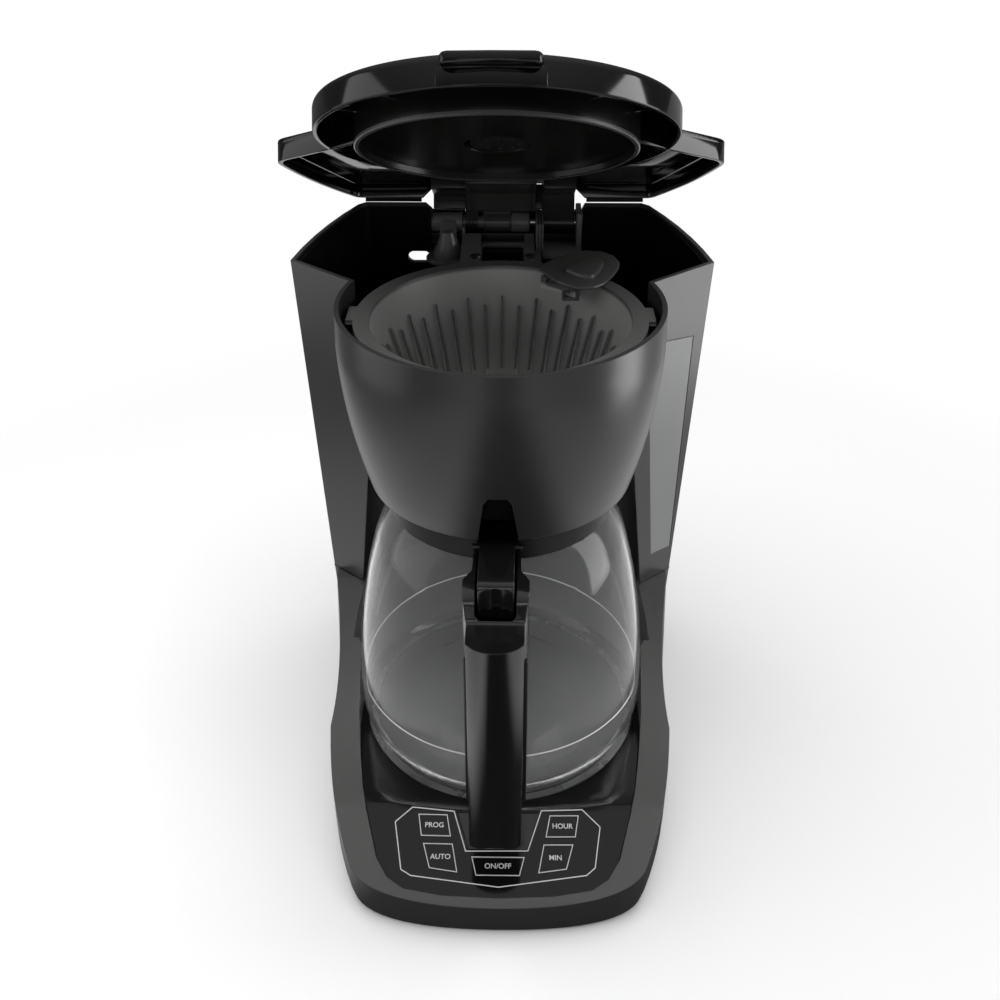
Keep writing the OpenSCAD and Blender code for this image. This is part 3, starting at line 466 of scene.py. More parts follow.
def makeLidCover(s):
    wall, low, top, rim = s["wall"], s["low"], s["top"], s["rim"]
    profile = [(0, top - wall), (rim - wall - 1.2, top - wall), (rim - wall, top - wall - 1.0),
               (rim - wall, low + 0.3), (rim - wall + 0.3, low), (rim - 0.4, low), (rim, low + 0.4)] \
        + arc((rim, top - 3.4), (rim - 0.4, top), (rim - 4.5, top)) + [(0, top)]
    crown = turned("crown", profile, centre=(0, s["crownY"]), steps=192)
    # wings: the plan behind the crown, as a wall and a top
    side, gap, back, lip = s["side"], s["gap"], s["back"], s["lipY"]
    edge = [(60, 5.6)] + arc((side - 6.5, 37.4), (side, 42.4), (side - 0.7, 50), 9) \
        + arc((side - 0.8, 51), (99.2, 88), (83, 125.5), 14) \
        + arc((83, 125.7), (81.5, 130.9), (77, 131.1), 5)
    inner = [(60, 7.9)] + arc((side - 8.2, 38.6), (side - 2.6, 43), (side - 3.0, 50), 9) \
        + arc((side - 3.1, 51), (96.9, 88), (81, 124.5), 14) \
        + arc((81, 124.7), (80, 128.6), (76.5, 128.9), 5)
    parts = [crown]
    for sign in (1, -1):
        ring = edge + [(gap, back), (gap, back - wall)] + inner[::-1]
        wingWall = slab("wingWall", low, s["wingTop"] - 0.3, [(sign * x, y) for x, y in ring])
        notch = [(gap - 2, low - 1), (gap + 6.2, low - 1), (gap + 5.6, low), (gap, low + 5.5),
                 (gap - 2, low + 5.5)]
        wedge = prism("wedge", [(sign * x, back - 5.1, z) for x, z in notch], (0, 8, 0))
        parts.append(cutBy(wingWall, wedge))
    plate = slab("wingTop", s["wingTop"] - wall, s["wingTop"], mirrored(edge))
    cutter = turned("cutter", [(0, low), (rim - 1.0, low), (rim - 1.0, top + 5), (0, top + 5)],
                    centre=(0, s["crownY"]), steps=96)
    cutBy(plate, cutter)
    for part in (parts[1], parts[2], plate):
        soften(part, 0.45, 2)
    # lip that hangs behind the housing's back edge
    lipPlan = [(gap + 6.4, lip), (76, lip), (76, lip + 0.9), (gap + 6.4, lip + 0.9)]
    for sign in (1, -1):
        parts.append(slab("lip", low - 1.7, low + 1, [(sign * x, y) for x, y in lipPlan]))
    # ledges that stiffen the wings
    ledgePlan = [(86, 36), (86.8, 35.2), (96, 48), (79, 110), (78.2, 109.6), (94.9, 48.2)]
    for sign in (1, -1):
        parts.append(slab("ledge", low + 3.6, s["wingTop"] - wall + 0.2,
                          [(sign * x, y) for x, y in ledgePlan]))
    for turn in (-64, -40, 40, 64):
        rib = slab("rib", low + 4, top - wall + 0.2, [(-0.6, -75.6), (0.6, -75.6), (0.6, -62), (-0.6, -62)])
        rib.data.transform(Matrix.Rotation(math.radians(turn), 4, "Z"))
        parts.append(rib)
    parts.append(plate)
    return settle(joined("lidCover", parts), "lid", "gloss_black", ["lid_cover"], angle=30, turn=coverTurn)


def makeLidTab(s):
    front, half, high = s["crownY"] - s["rim"], s["tabHalf"], s["top"] - 1.6
    lipPlan = [(0, front - 5.4), (half - 3, front - 5.0), (half - 0.8, front - 4.0), (half, front - 1.5),
               (half, front + 3), (0, front + 3)]
    lip = slab("lip", high - 4.2, high, mirrored(lipPlan))
    soften(lip, 1.2, 4)
    # panel of the skirt below the lip, with its seam at each side
    skirtPlan = [(0, front - 0.5), (half * 0.6, front + 0.6), (half + 1.6, front + 1.9),
                 (half + 1.6, front + 3), (0, front + 3)]
    skirt = slab("skirt", s["low"] + 0.2, high - 3.6, mirrored(skirtPlan))
    soften(skirt, 0.3, 2)
    return settle(joined("lidTab", [lip, skirt]), "lid", "gloss_black", ["lid_tab"], turn=coverTurn)


def makeSplashRing(s):
    low, rim = s["ringLow"], s["ring"]
    profile = [(rim - 2.6, low + 3), (rim - 2.3, low + 0.5), (rim - 1.8, low), (rim - 0.4, low),
               (rim, low + 0.4), (rim, s["top"] - 2.4), (rim - 2, s["top"] - 2.4), (rim - 2, low + 5),
               (14, low + 5), (14, low + 3)]
    ring = turned("ring", profile, centre=(0, headY), steps=192, closed=True)
    settle(ring, "lid", "gloss_black", ["splash_ring"], finish=finishes["smoke"], turn=coverTurn)
    # painted highlight: a trim along the ring's lower edge in a lighter grey than the smoked ring, standing
    # for the light line on that edge
    trim = [(rim - 1.9, low - 0.05), (rim - 0.5, low - 0.05), (rim + 0.05, low + 0.35),
            (rim + 0.05, low + 1.5), (rim - 0.5, low + 1.5), (rim - 0.5, low + 0.6), (rim - 1.9, low + 0.6)]
    edge = turned("ringEdge", trim, centre=(0, headY), steps=160, closed=True)
    return settle(edge, "lid", "gloss_black", finish=finishes["ringEdge"], turn=coverTurn)


makeLidCover(lid)
makeLidTab(lid)
makeSplashRing(lid)
print("lid is made")

# Carafe: handle, lid with its thumb lever, and glass

glass = {"plate": 36.5, "neck": 184.0, "wide": 76.3, "neckR": 51.0, "thick": 2.0}
glassRing = {"radius": 73.6, "high": 68.0}
handle = {"reach": 120.5, "half": 12.4, "frame": 14.3, "neck": glass["neck"], "neckR": glass["neckR"],
          "foot": 52.0, "recess": 8.9, "turn": -0.6, "lean": 2.2, "bow": 15.6}
carafeTurn = Matrix.Rotation(math.radians(handle["turn"]), 4, "Z")


def makeHandle(s):
    front, neck, foot = -s["reach"], s["neck"], s["foot"]
    half, frameHalf, bow = s["half"], s["frame"], s["bow"]
    # grip: a rounded column, cut to the side outline
    angles = [math.radians(i * 3.4) for i in range(16)]
    section = [(bow * math.sin(a), front + bow * (1 - math.cos(a))) for a in angles] \
        + arc((half - 0.2, front + 6.9), (half, front + 8.2), (half, front + 10), 4) \
        + arc((half, front + 17.5), (half, front + 21.5), (half - 3.5, front + 21.5), 5)
    grip = slab("grip", foot - 8, neck + 4, mirrored(section))
    grip.data.transform(turnAbout((0, front, foot), -s["lean"], "X"))
    outline = [(-55, neck + 0.5)] + arc((-80, neck + 2.6), (-92.5, neck + 3.0), (-94.4, neck - 3), 7) \
        + [(-95.8, neck - 8.6)] + arc((-96.2, neck - 9.6), (-96.8, neck - 10.9), (-99, neck - 11), 4) \
        + [(-125, neck - 10.6), (-125, foot + 12)] \
        + arc((front - 0.6, foot + 9), (front + 0.8, foot + 0.8), (front + 8, foot), 8) \
        + arc((front + 17, foot), (front + 21.2, foot + 1.5), (front + 21.5, foot + 14), 8) \
        + arc((front + 24, neck - 46), (-93, neck - 20), (-76, neck - 18), 10) + [(-55, neck - 18)]
    body = cutBy(grip, bar("side", -30, 30, outline), "INTERSECT")
    # shoulders run from the grip back to the collar
    plan = [(0, front + 21), (half - 0.6, front + 21), (half - 0.2, front + 23),
            (frameHalf - 0.4, front + 27), (frameHalf, front + 30), (frameHalf, -84),
            (s["recess"] + 1.7, -77), (s["recess"] + 1.5, -56), (0, -56)]
    shoulders = slab("shoulders", neck - 44, neck + 4, mirrored(plan))
    cutBy(shoulders, bar("side", -30, 30, outline), "INTERSECT")
    body = cutBy(body, shoulders, "UNION")
    # room for the lever
    hollow = [(-40, neck - 6), (-40, neck + 10), (-93.5, neck + 10)] \
        + arc((-99, neck + 8), (-98, neck - 14.6), (-91, neck - 15.4), 8) \
        + [(-80, neck - 15.4), (-76, neck - 6)]
    room = bar("room", -s["recess"], s["recess"], hollow)
    soften(room, 2.4, 4, 40)
    cutBy(body, room)
    # seat of the insert strip
    seatPlan = [(-20, front + 23.5), (20, front + 23.5), (20, -70), (-20, -70)]
    cutBy(body, slab("seat", foot - 2, neck - 32, seatPlan))
    soften(body, 0.8, 3, 28)
    return settle(body, "carafe", "gloss_black", ["carafe_handle"], finish=finishes["handleGloss"],
                  angle=28, turn=carafeTurn)


def makeInsert(s):
    y, low, high, half = -s["reach"] + 23.8, s["foot"] + 10, s["neck"] - 32.3, s["frame"]
    strip = slab("insert", low, high, [(-half, y), (half, y), (half, y + 3.2), (-half, y + 3.2)])
    soften(strip, 0.8, 3)
    spot = rod("spot", (0, y + 2, high - 10), (0, y + 8, high - 10), 3.4)
    cutBy(strip, spot)
    return settle(strip, "carafe", "liner_black", ["handle_insert"], turn=carafeTurn)


def makeCarafeLid(s):
    neck, neckR, recess, seat = s["neck"], s["neckR"], s["recess"], s["neck"] + 0.3
    profile = [(9, seat + 1.2), (9, seat + 3.2), (9.4, seat + 3.7)] \
        + arc((30, seat + 3.7), (neckR - 1.5, seat + 3.7), (neckR - 0.1, seat + 2.2), 5) \
        + [(neckR - 0.1, seat), (neckR - 2.5, seat), (neckR - 2.6, seat - 6), (neckR - 4.5, seat - 6),
           (neckR - 4.5, seat + 1.2)]
    cap = turned("cap", profile, steps=128, closed=True)
    top = [(-44, neck + 3.9), (-56, neck + 5.6)] \
        + arc((-60, neck + 6.4), (-74, neck + 8.6), (-86, neck + 6.6), 8) \
        + arc((-89, neck + 6.0), (-92.0, neck + 5.4), (-92.3, neck + 1.5), 6) \
        + [(-92.7, neck - 4), (-92.8, neck - 10.6)]
    under = [(-91.6, neck - 12.2), (-87, neck - 12.2), (-84, neck - 4), (-74, neck - 4.2),
             (-68, neck - 0.6), (-62, neck + 1.2), (-57.5, neck + 1.6), (-56, neck + 3.4), (-44, neck + 3.4)]
    lever = bar("lever", -recess + 1.1, recess - 1.1, top + under)
    soften(lever, 0.7, 3, 40)
    # shallow hollow down the middle of the thumb pad
    dip = rod("dip", (0, -107.0, neck + 12), (0, -106.2, neck - 30), 15.2, 64)
    cutBy(lever, dip)
    body = joined("carafeCap", [cap, lever])
    return settle(body, "carafe_cap", "gloss_black", ["carafe_lid"], finish=finishes["handleGloss"],
                  angle=30, turn=carafeTurn)


def makeGlass(s):
    plate, neck, wide, neckR, thick = s["plate"], s["neck"], s["wide"], s["neckR"], s["thick"]

    def side(t):
        low, high = (wide - t, plate + 15.5), (wide - 13.4 - t, neck - 29)
        return arc((58, plate + t), (wide - 2 - t, plate + t), low, 12) \
            + arc(low, (wide + 0.5 - t, plate + 68), high, 20)[1:] \
            + arc(high, (neckR + 7 - t, neck - 14), (neckR - t, neck - 9), 12)[1:]

    outer = [(0, plate + 1.5), (52, plate + 1.5), (54, plate)] + side(0) + [(neckR, neck)]
    inner = [(0, plate + 1.5 + thick), (52, plate + 1.5 + thick)] + side(thick) + [(neckR - thick, neck)]
    glass = turned("glass", outer + inner[::-1], steps=192)
    return settle(glass, "carafe", "carafe_glass", ["carafe_glass"], angle=40)


# thin moulded ring round the widest part of the glass, coloured opaque light grey as a painted highlight
def makeGlassRing(s):
    radius, high = s["radius"], s["high"]
    profile = [(radius + 0.02, high - 0.45), (radius + 0.3, high - 0.2), (radius + 0.3, high + 0.2),
               (radius + 0.02, high + 0.45), (radius - 0.3, high)]
    ring = turned("glassRing", profile, steps=160, closed=True)
    return settle(ring, "carafe", "carafe_glass", finish=finishes["glassRingHighlight"])


makeHandle(handle)
makeInsert(handle)
makeCarafeLid(handle)
makeGlass(glass)
makeGlassRing(glassRing)
print("carafe is made")

# Lines and legends on the control panel

panel = {"ridge": (0, -75.5, 36.2), "slope": 19.7, "border": 0.5, "rim": 0.42, "inside": 0.65,
         "keyTop": 0.3, "wordTop": 0.36, "letter": 3.6, "rise": 0.14}
flipY = Matrix.Scale(-1, 4, (0, 1, 0))
panelTurn = Matrix.Translation(panel["ridge"]) \
    @ Matrix.Rotation(math.radians(panel["slope"]), 4, "X") @ flipY
panelBorder = [(-43.7, 2.4), (-52.2, 10.2), (-47.8, 34.2), (-42.7, 37.2), (0.5, 42.4), (43.5, 36.3),
               (48.0, 32.5), (51.3, 11.9), (42.4, 2.9), (21.5, 3.7), (14.6, 24.1), (-15.9, 24.5),
               (-22.3, 4.4)]
keys = {"prog": [(-40.5, 6.2), (-25.8, 6.4), (-23.6, 17.6), (-38.6, 17.4)],
        "auto": [(-37.4, 21), (-22.6, 21.2), (-19.8, 35.4), (-33.8, 33.4)],
        "power": [(-13.2, 27.5), (13.2, 27.5), (10.8, 36.8), (-10.8, 36.8)]}


# a thin raised line that follows a closed outline
def outlineStroke(name, points, width, height, shrink=0.0):
    line = trace(name, [(*point, height) for point in points])
    bpy.ops.mesh.edge_face_add()
    if shrink:
        bpy.ops.mesh.inset(thickness=shrink)
        bpy.ops.mesh.select_all(action="INVERT")
        bpy.ops.mesh.delete(type="FACE")
        bpy.ops.mesh.select_all(action="SELECT")
    bpy.ops.mesh.inset(thickness=width)
    bpy.ops.mesh.delete(type="ONLY_FACE")
    bpy.ops.mesh.select_all(action="SELECT")
    bpy.ops.mesh.extrude_region_move(TRANSFORM_OT_translate={"value": (0, 0, panel["rise"])})
    tidyMesh()
    return line


def legend(name, word, centre, size, height):
    deselectAll()
    bpy.ops.object.text_add()
    text = bpy.context.active_object
    text.name = name
    text.data.body = word
    text.data.size = size
    text.data.align_x = "CENTER"
    text.data.align_y = "CENTER"
    text.data.extrude = 0.06
    text.data.offset = 0.012 * size
    bpy.ops.object.convert(target="MESH")
    piece = bpy.context.active_object
    piece.data.transform(Matrix.Translation((*centre, height)) @ flipY)
    return piece


def flipFaces(piece):
    only(piece)
    editMode(True)
    bpy.ops.mesh.select_all(action="SELECT")
    bpy.ops.mesh.normals_make_consistent(inside=False)
    editMode(False)


def makePanelLines(s):
    border = outlineStroke("panelBorder", panelBorder, s["border"], 0.0)
    settle(border, "machine", "display", finish=finishes["print"], turn=panelTurn)
    # the keys on the right are the left ones mirrored
    words = {"prog": {"prog_key": "PROG", "hour_key": "HOUR"},
             "auto": {"auto_key": "AUTO", "minute_key": "MIN"}, "power": {"power_key": "ON/OFF"}}
    for key, outline in keys.items():
        for side, (body, word) in enumerate(words[key].items()):
            points = [(-x, y) for x, y in reversed(outline)] if side else outline
            centre = (sum(x for x, y in points) / 4, sum(y for x, y in points) / 4)
            rim = outlineStroke(body + "Rim", points, s["rim"], s["keyTop"], shrink=s["inside"])
            text = legend(body + "Word", word, centre, s["letter"], s["wordTop"])
            piece = joined(body + "Print", [rim, text])
            flipFaces(piece)
            settle(piece, body, "gloss_black", finish=finishes["print"], turn=panelTurn)


makePanelLines(panel)
print("panel lines are made")


# Hinge: barrel, arm cover, bridge and riser

hinge = {"y": 131.0, "z": 267.0, "r": 5.2, "plateZ": 256.6, "thick": 2.4, "frontY": 66.5, "half": 20.2,
         "slotTurn": 30.0, "armLow": 280.1, "armThick": 7.0, "footTop": 287.2, "riserX": -30.0,
         "riserY": 118.5}


# a solid turned about the hinge line, from (x, radius) steps
def barrel(name, steps, y, z, sides=48):
    piece = trace(name, [(x, y, z + r) for x, r in steps])
    bpy.ops.mesh.spin(steps=sides, angle=math.tau, center=(0, y, z), axis=(1, 0, 0))
    tidyMesh()
    return piece


# part of a tube about the hinge line, between two angles from straight back
def shell(name, left, right, inner, outer, start, end, y, z):
    steps = max(3, int(abs(end - start) / 6))
    angles = [math.radians(start + (end - start) * i / steps) for i in range(steps + 1)]
    ring = [(y + outer * math.cos(a), z + outer * math.sin(a)) for a in angles] \
        + [(y + inner * math.cos(a), z + inner * math.sin(a)) for a in reversed(angles)]
    return bar(name, left, right, ring)


def block(name, low, high, edge=0.4):
    piece = slab(name, low[2], high[2], [(low[0], low[1]), (high[0], low[1]), (high[0], high[1]),
                                         (low[0], high[1])])
    return soften(piece, edge, 2) if edge else piece


def makeElbow(s):
    y, z, r = s["y"], s["z"], s["r"]
    tube = barrel("elbow", [(-40.2, 0), (-40.1, 2.6), (-39.3, 4.4), (-38.0, r), (-23.4, r),
                            (-23.2, r + 0.5), (-22.6, r + 0.5), (-22.4, r), (-22.4, 0)], y, z)
    cone = turned("cone", [(0, z - 1), (3.4, z - 1), (4.6, z - 4), (6.2, z - 8), (7.9, z - 11.6),
                           (8.2, z - 14.2), (8.2, z - 15), (0, z - 15)],
                  centre=(s["riserX"], s["riserY"]), steps=48)
    neck = bar("neck", -34.6, -25.4, [(116.5, z - 9), (120.5, z - 2.6), (126, z + 2.5), (131, z + 4.2),
                                      (134, z), (131, z - 4.6), (124, z - 8)])
    soften(neck, 1.6, 4)
    foot = turned("foot", [(0, z - 14.6), (10.3, z - 14.6), (10.8, z - 15.2), (10.8, z - 16.6),
                           (10.0, z - 17.4), (0, z - 17.4)],
                  centre=(s["riserX"] - 1.4, s["riserY"]), steps=64)
    return settle(joined("hingeElbow", [tube, cone, neck, foot]), "machine", "liner_black", ["riser_elbow"],
                  finish=finishes["hingeGrey"], angle=35)


def makeSwivel(s):
    y, z, r = s["y"], s["z"], s["r"]
    core = barrel("core", [(-22.6, 0), (-22.6, 3.4), (4.3, 3.4), (4.3, r - 0.1), (4.7, r + 0.1),
                           (13.6, r + 0.1), (14.2, r - 0.5), (14.2, 0)], y, z)
    return settle(core, "machine", "liner_black", ["swivel_tube"], finish=finishes["hingeGrey"], angle=35)


def makePinEnd(s):
    y, z = s["y"], s["z"]
    tip = barrel("tip", [(14.3, 0), (14.3, 2.3), (14.6, 2.6), (17.4, 2.6), (17.4, 0)], y, z, 32)
    shaft = barrel("shaft", [(17.2, 0), (17.2, 2.6), (17.6, 3.0), (41.4, 3.0), (41.8, 2.6), (41.8, 0)],
                   y, z, 32)
    return settle(joined("hingePin", [tip, shaft]), "machine", "steel", ["hinge_pin"], angle=35)


# knuckles, plates and feet that carry the lid
def makeLidHinge(s):
    y, z, r = s["y"], s["z"], s["r"]
    rings = [(-20.8, 3.7), (-20.8, r)]
    for x in (-19.3, -17.4, -15.5):
        rings += [(x - 0.9, r), (x - 0.5, r - 0.8), (x + 0.3, r - 0.8), (x + 0.7, r)]
    grooved = barrel("grooved", rings + [(-14.0, r), (-14.0, 3.7), (-20.8, 3.7)], y, z)
    right = barrel("right", [(20.6, 3.2), (20.6, r), (38.4, r), (38.4, 3.2), (20.6, 3.2)], y, z)
    top, low = s["footTop"], z
    back = [(y - r, low), (y - r, top), (y + 2.6, top), (y + 2.6, low)]
    parts = [grooved, right]
    for left, end in ((-20.8, -14.0), (20.6, 38.4)):
        neck = bar("neck", left, end, back)
        hole = rod("hole", (left - 1, y, z), (end + 1, y, z), r - 0.4, 40)
        parts.append(cutBy(neck, hole))
    for left, end in ((-38.4, -14.2), (21.2, 38.4)):
        parts.append(block("foot", (left, y - 22, 280.7), (end, y - 4.6, top), 0.5))
    for left, end in ((-38.4, -11.4), (4.4, 38.4)):
        parts.append(block("plate", (left, y - 1, z + r + 2), (end, y + 2.6, top), 0.3))
        near, far = (left + 1.4, -20.6) if left < 0 else (18.0, end - 0.6)
        parts.append(block("edgeLine", (near, y - 2.0, z + r + 5.3), (far, y - 0.8, z + r + 6.0), 0.15))
    for part in parts:
        part.data.transform(lidTurn)
    return settle(joined("lidHinge", parts), "lid", "gloss_black", ["lid_hinge"],
                  finish=finishes["hingeDark"], angle=35)


# water arm under the lid, with its curved cover over the hinge
def makeWaterArm(s):
    y, z, r, low, thick = s["y"], s["z"], s["r"], s["armLow"], s["armThick"]
    arm = block("arm", (-9, headY, low), (9, 74, low + thick), 0.8)
    wide = block("wide", (-13.6, 74, low), (12.4, y - 4.2, low + thick), 0.8)
    cup = turned("cup", [(8, low - 1), (12, low - 1), (12, low + thick), (8.6, low + thick), (8, low + 6)],
                 centre=(0, headY), steps=64, closed=True)
    sleeve = barrel("sleeve", [(-11.0, 3.7), (-11.0, r), (3.8, r), (3.8, 3.7), (-11.0, 3.7)], y, z)
    slot = block("slot", (-10.2, y - 8, z - 2.2), (3.1, y - 1, z + 2.0), 0)
    slot.data.transform(turnAbout((0, y, z), s["slotTurn"], "X"))
    cutBy(sleeve, slot)
    side = [(y - 4, z + 1.5), (y - 4, low + 2), (y + 2.5, low + 2), (y + 2.5, z + 1.5)]
    neck = bar("neck", -11.0, 3.8, side)
    cutBy(neck, rod("hole", (-12, y, z), (5, y, z), r - 0.4, 40))
    # curved cover, a thin shell with rolled side edges
    outer = arc((y - 5.6, z + 5.2), (y - 9.4, z + 10.4), (y - 12.2, low + 0.6), 8) \
        + arc((y - 12.6, low + 0.2), (y - 16, low - 1.2), (y - 44, low - 1.4), 5)
    inner = [(y - 44, low + 0.4), (y - 12, low + 2.4), (y - 3.6, z + 6.2), (y - 4.6, z + 4.6)]
    cover = bar("cover", -19.4, 17.0, outer + inner)
    soften(cover, 0.5, 2, 40)
    parts = [arm, wide, cup, sleeve, neck, cover]
    for x in (-19.4, 16.0):
        parts.append(bar("coverEdge", x, x + 1.0, [(p - 0.8, q - 0.5) for p, q in outer] + inner))
    for high in (0.0, 2.6):
        parts.append(block("crease", (-14 + high, y - 10.6 + high * 1.5, low - 1.2 - high * 1.4),
                           (12 - high, y - 9.9 + high * 1.5, low + 1.4 - high * 1.4), 0.2))
    for part in parts:
        part.data.transform(lidTurn)
    return settle(joined("waterArm", parts), "lid", "liner_black", ["water_arm"],
                  finish=finishes["armSmoke"], angle=35)


# bridge plate from the basket well back to the hinge, with its rails, tab and brackets
def makeBridge(s):
    y, z, r, base, thick = s["y"], s["z"], s["r"], s["plateZ"], s["thick"]
    front, end, half = s["frontY"], y - 8, s["half"]
    plate = slab("plate", base, base + thick, [(-half, front), (half, front), (half, end), (-half, end)])
    window = block("window", (-11.4, front + 17.0, base - 5), (10.8, end - 3.2, base + thick + 5), 0)
    soften(window, 1.8, 4, 60)
    cutBy(plate, window)
    soften(plate, 0.35, 2)
    parts = [plate]
    # raised rails beside the opening, up to the barrel
    side = [(front + 12, base + thick - 0.3), (front + 13, base + thick + 0.6),
            (end - 8, base + thick + 2.2), (end, z - 3.6), (end, base), (front + 12, base)]
    for left, right in ((-22.4, -12.2), (11.4, 16.6)):
        parts.append(bar("rail", left, right, side))
    parts.append(block("tab", (-22.5, y - 8.5, z - 9), (-20.9, y - 5.4, z - 0.4), 0.3))
    # ribbed bracket at the right of the barrel
    for x in (17.5, 19.0, 20.5):
        parts.append(block("bracketRib", (x, end - 14, base - 1), (x + 0.9, y + 5, z + r + 1.2), 0.25))
    near = block("bracket", (17.8, end - 12, base - 1), (21.0, y + 4, z + r + 0.4), 0.25)
    far = block("bracketFar", (39.2, end - 8, base - 1), (42.0, y + 3, z + r + 4.6), 0.3)
    parts.append(cutBy(near, rod("hole", (16, y, z), (22, y, z), 3.1, 32)))
    parts.append(cutBy(far, rod("hole", (38, y, z), (43, y, z), 3.1, 32)))
    parts.append(block("rightPlate", (21.0, end - 20, base), (42.0, end, base + thick), 0.3))
    for x in (-19.3, 17.0):
        parts.append(block("darkFoot", (x - 2.4, front + 3.6, base + thick - 0.2),
                           (x + 2.4, front + 7.6, base + thick + 0.5), 0.2))
    return settle(joined("hingeBridge", parts), "machine", "liner_black", ["hinge_bridge"],
                  finish=finishes["hingeGrey"], angle=35)


# sill on the housing's cut-out and dark wall behind the barrel
def makeBackWall(s):
    y, z, r, base, end = s["y"], s["z"], s["r"], s["plateZ"], s["y"] - 8
    parts = [block("sill", (-38.6, end - 5, base - 6.8), (42.2, end + 5.6, base - 1.0), 0.3),
             block("wall", (-42.2, end + 6.2, base - 6.8), (42.2, end + 8.4, z - 5.9), 0.2),
             shell("behind", -42.2, 42.2, r + 1.0, r + 1.9, -88, 34, y, z)]
    for left, right in ((-42.2, -21.2), (-13.7, -11.3), (4.3, 20.2), (38.8, 42.2)):
        parts.append(shell("behindTop", left, right, r + 1.0, r + 1.8, 30, 82, y, z))
    return settle(joined("hingeWall", parts), "machine", "liner_black", finish=finishes["hingeDark"],
                  angle=35)


makeBackWall(hinge)
makeElbow(hinge)
makeSwivel(hinge)
makePinEnd(hinge)
makeLidHinge(hinge)
makeWaterArm(hinge)
makeBridge(hinge)
print("hinge is made")

# Lift-out basket: ribs, finger ring and its clip

basket = {"count": 40, "width": 1.1, "proud": 1.5, "rimZ": 271.0, "mouthR": 58.5, "floorR": 44.0,
          "floorZ": 222.0, "longTop": 14.0, "shortTop": 18.0, "ringZ": 272.0, "ringThick": 1.75,
          "clipLow": 265.4, "clipHigh": 272.2}
fingerRing = [(17.0, 48.0), (20.5, 54.5), (26.5, 61.8), (34.5, 69.2), (42.0, 71.8), (49.5, 70.6),
              (55.0, 65.2), (57.3, 57.0), (56.4, 49.0), (53.0, 39.5), (48.2, 30.0), (43.2, 25.0),
              (37.0, 24.0), (31.5, 26.5), (26.0, 32.0)]
fingerHole = [(29.8, 43.5), (33.5, 49.0), (39.5, 54.6), (45.4, 57.6), (49.0, 56.0), (49.2, 51.0),
              (46.6, 42.0), (43.4, 34.6), (40.6, 33.2), (36.0, 36.4)]
clipPlan = [(28.4, 27.5), (36.4, 27.5), (37.2, 35.0), (28.4, 35.0)]
clipSlot = [(29.4, 26), (35.4, 26), (35.4, 31), (29.4, 31)]
armPlan = [(29.5, 33.0), (35.5, 31.0), (43.5, 41.0), (37.5, 46.0)]


def makeRibs(s):
    def wallR(z):
        return s["floorR"] + (s["mouthR"] - s["floorR"]) * (z - s["floorZ"]) / (s["rimZ"] - s["floorZ"])

    parts = []
    for kind, drop in enumerate((s["longTop"], s["shortTop"])):
        low, top, half = s["floorZ"] + 1.0, s["rimZ"] - drop, s["width"] / 2
        side = [(wallR(low) + 0.4, low), (wallR(top) + 0.4, top),
                (wallR(top - 0.6) - s["proud"] * 0.7, top - 0.6),
                (wallR(top - 1.6) - s["proud"], top - 1.6), (wallR(low) - s["proud"], low)]
        rib = bar("rib", -half, half, side)
        soften(rib, 0.22, 2, 40)
        for i in range(kind, s["count"], 2):
            copy = bpy.data.objects.new("rib", rib.data.copy())
            bpy.context.scene.collection.objects.link(copy)
            copy.data.transform(Matrix.Rotation(math.tau * i / s["count"], 4, "Z"))
            copy.data.transform(Matrix.Translation((0, headY, 0)))
            parts.append(copy)
        bpy.data.objects.remove(rib)
    # painted shade: the ribs take a darker grey than the pale-painted inside, so they show as dark lines
    # like shaded ribs
    return settle(joined("basketRibs", parts), "basket", "basket_grey", finish=finishes["hingeGrey"],
                  angle=40)


def makeFingerRing(s):
    low, high = s["ringZ"], s["ringZ"] + s["ringThick"]
    ring = slab("fingerRing", low, high, fingerRing)
    hole = slab("hole", low - 2, high + 2, fingerHole)
    for piece in (ring, hole):
        soften(piece, 2.2, 3, 8)
    cutBy(ring, hole)
    soften(ring, 0.5, 3, 50)
    clip = slab("clip", s["clipLow"], s["clipHigh"], clipPlan)
    slot = slab("slot", s["clipLow"] + 1.4, s["clipHigh"] - 2.0, clipSlot)
    cutBy(clip, slot)
    soften(clip, 0.3, 2)
    arm = slab("clipArm", s["clipLow"] + 2.0, s["rimZ"], armPlan)
    soften(arm, 0.3, 2)
    return settle(joined("fingerRing", [ring, clip, arm]), "basket_grip", "basket_grey", ["basket_handle"],
                  finish=finishes["fingerGrey"], angle=40)


makeRibs(basket)
makeFingerRing(basket)
print("basket is made")
# Smooth copies of nodes


def bodyOf(name):
    for body, members in frame["record"]["behaviour"]["bodies"].items():
        if name in members:
            return body


# a node's mesh copied with smooth shading; on flatNodes the large faces set the corner normals
def smoothCopy(name):
    angle = 20.0 if name in flatNodes else 32.0
    piece = bpy.data.objects.new(name + "_skin", nodes[name].data.copy())
    bpy.context.scene.collection.objects.link(piece)
    only(piece)
    bpy.ops.object.mode_set(mode="EDIT")
    bpy.ops.mesh.select_all(action="SELECT")
    bpy.ops.mesh.remove_doubles(threshold=0.000002)
    bpy.ops.object.mode_set(mode="OBJECT")
    bpy.ops.mesh.customdata_custom_splitnormals_clear()
    bpy.ops.object.shade_smooth_by_angle(angle=math.radians(angle))
    if name in flatNodes:
        change(piece, "WEIGHTED_NORMAL", mode="FACE_AREA", weight=90, keep_sharp=True)
    if name in skinFinish:
        dress(piece, finishes[skinFinish[name]])
    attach(piece, bodyOf(name))
    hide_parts(name)
    return piece


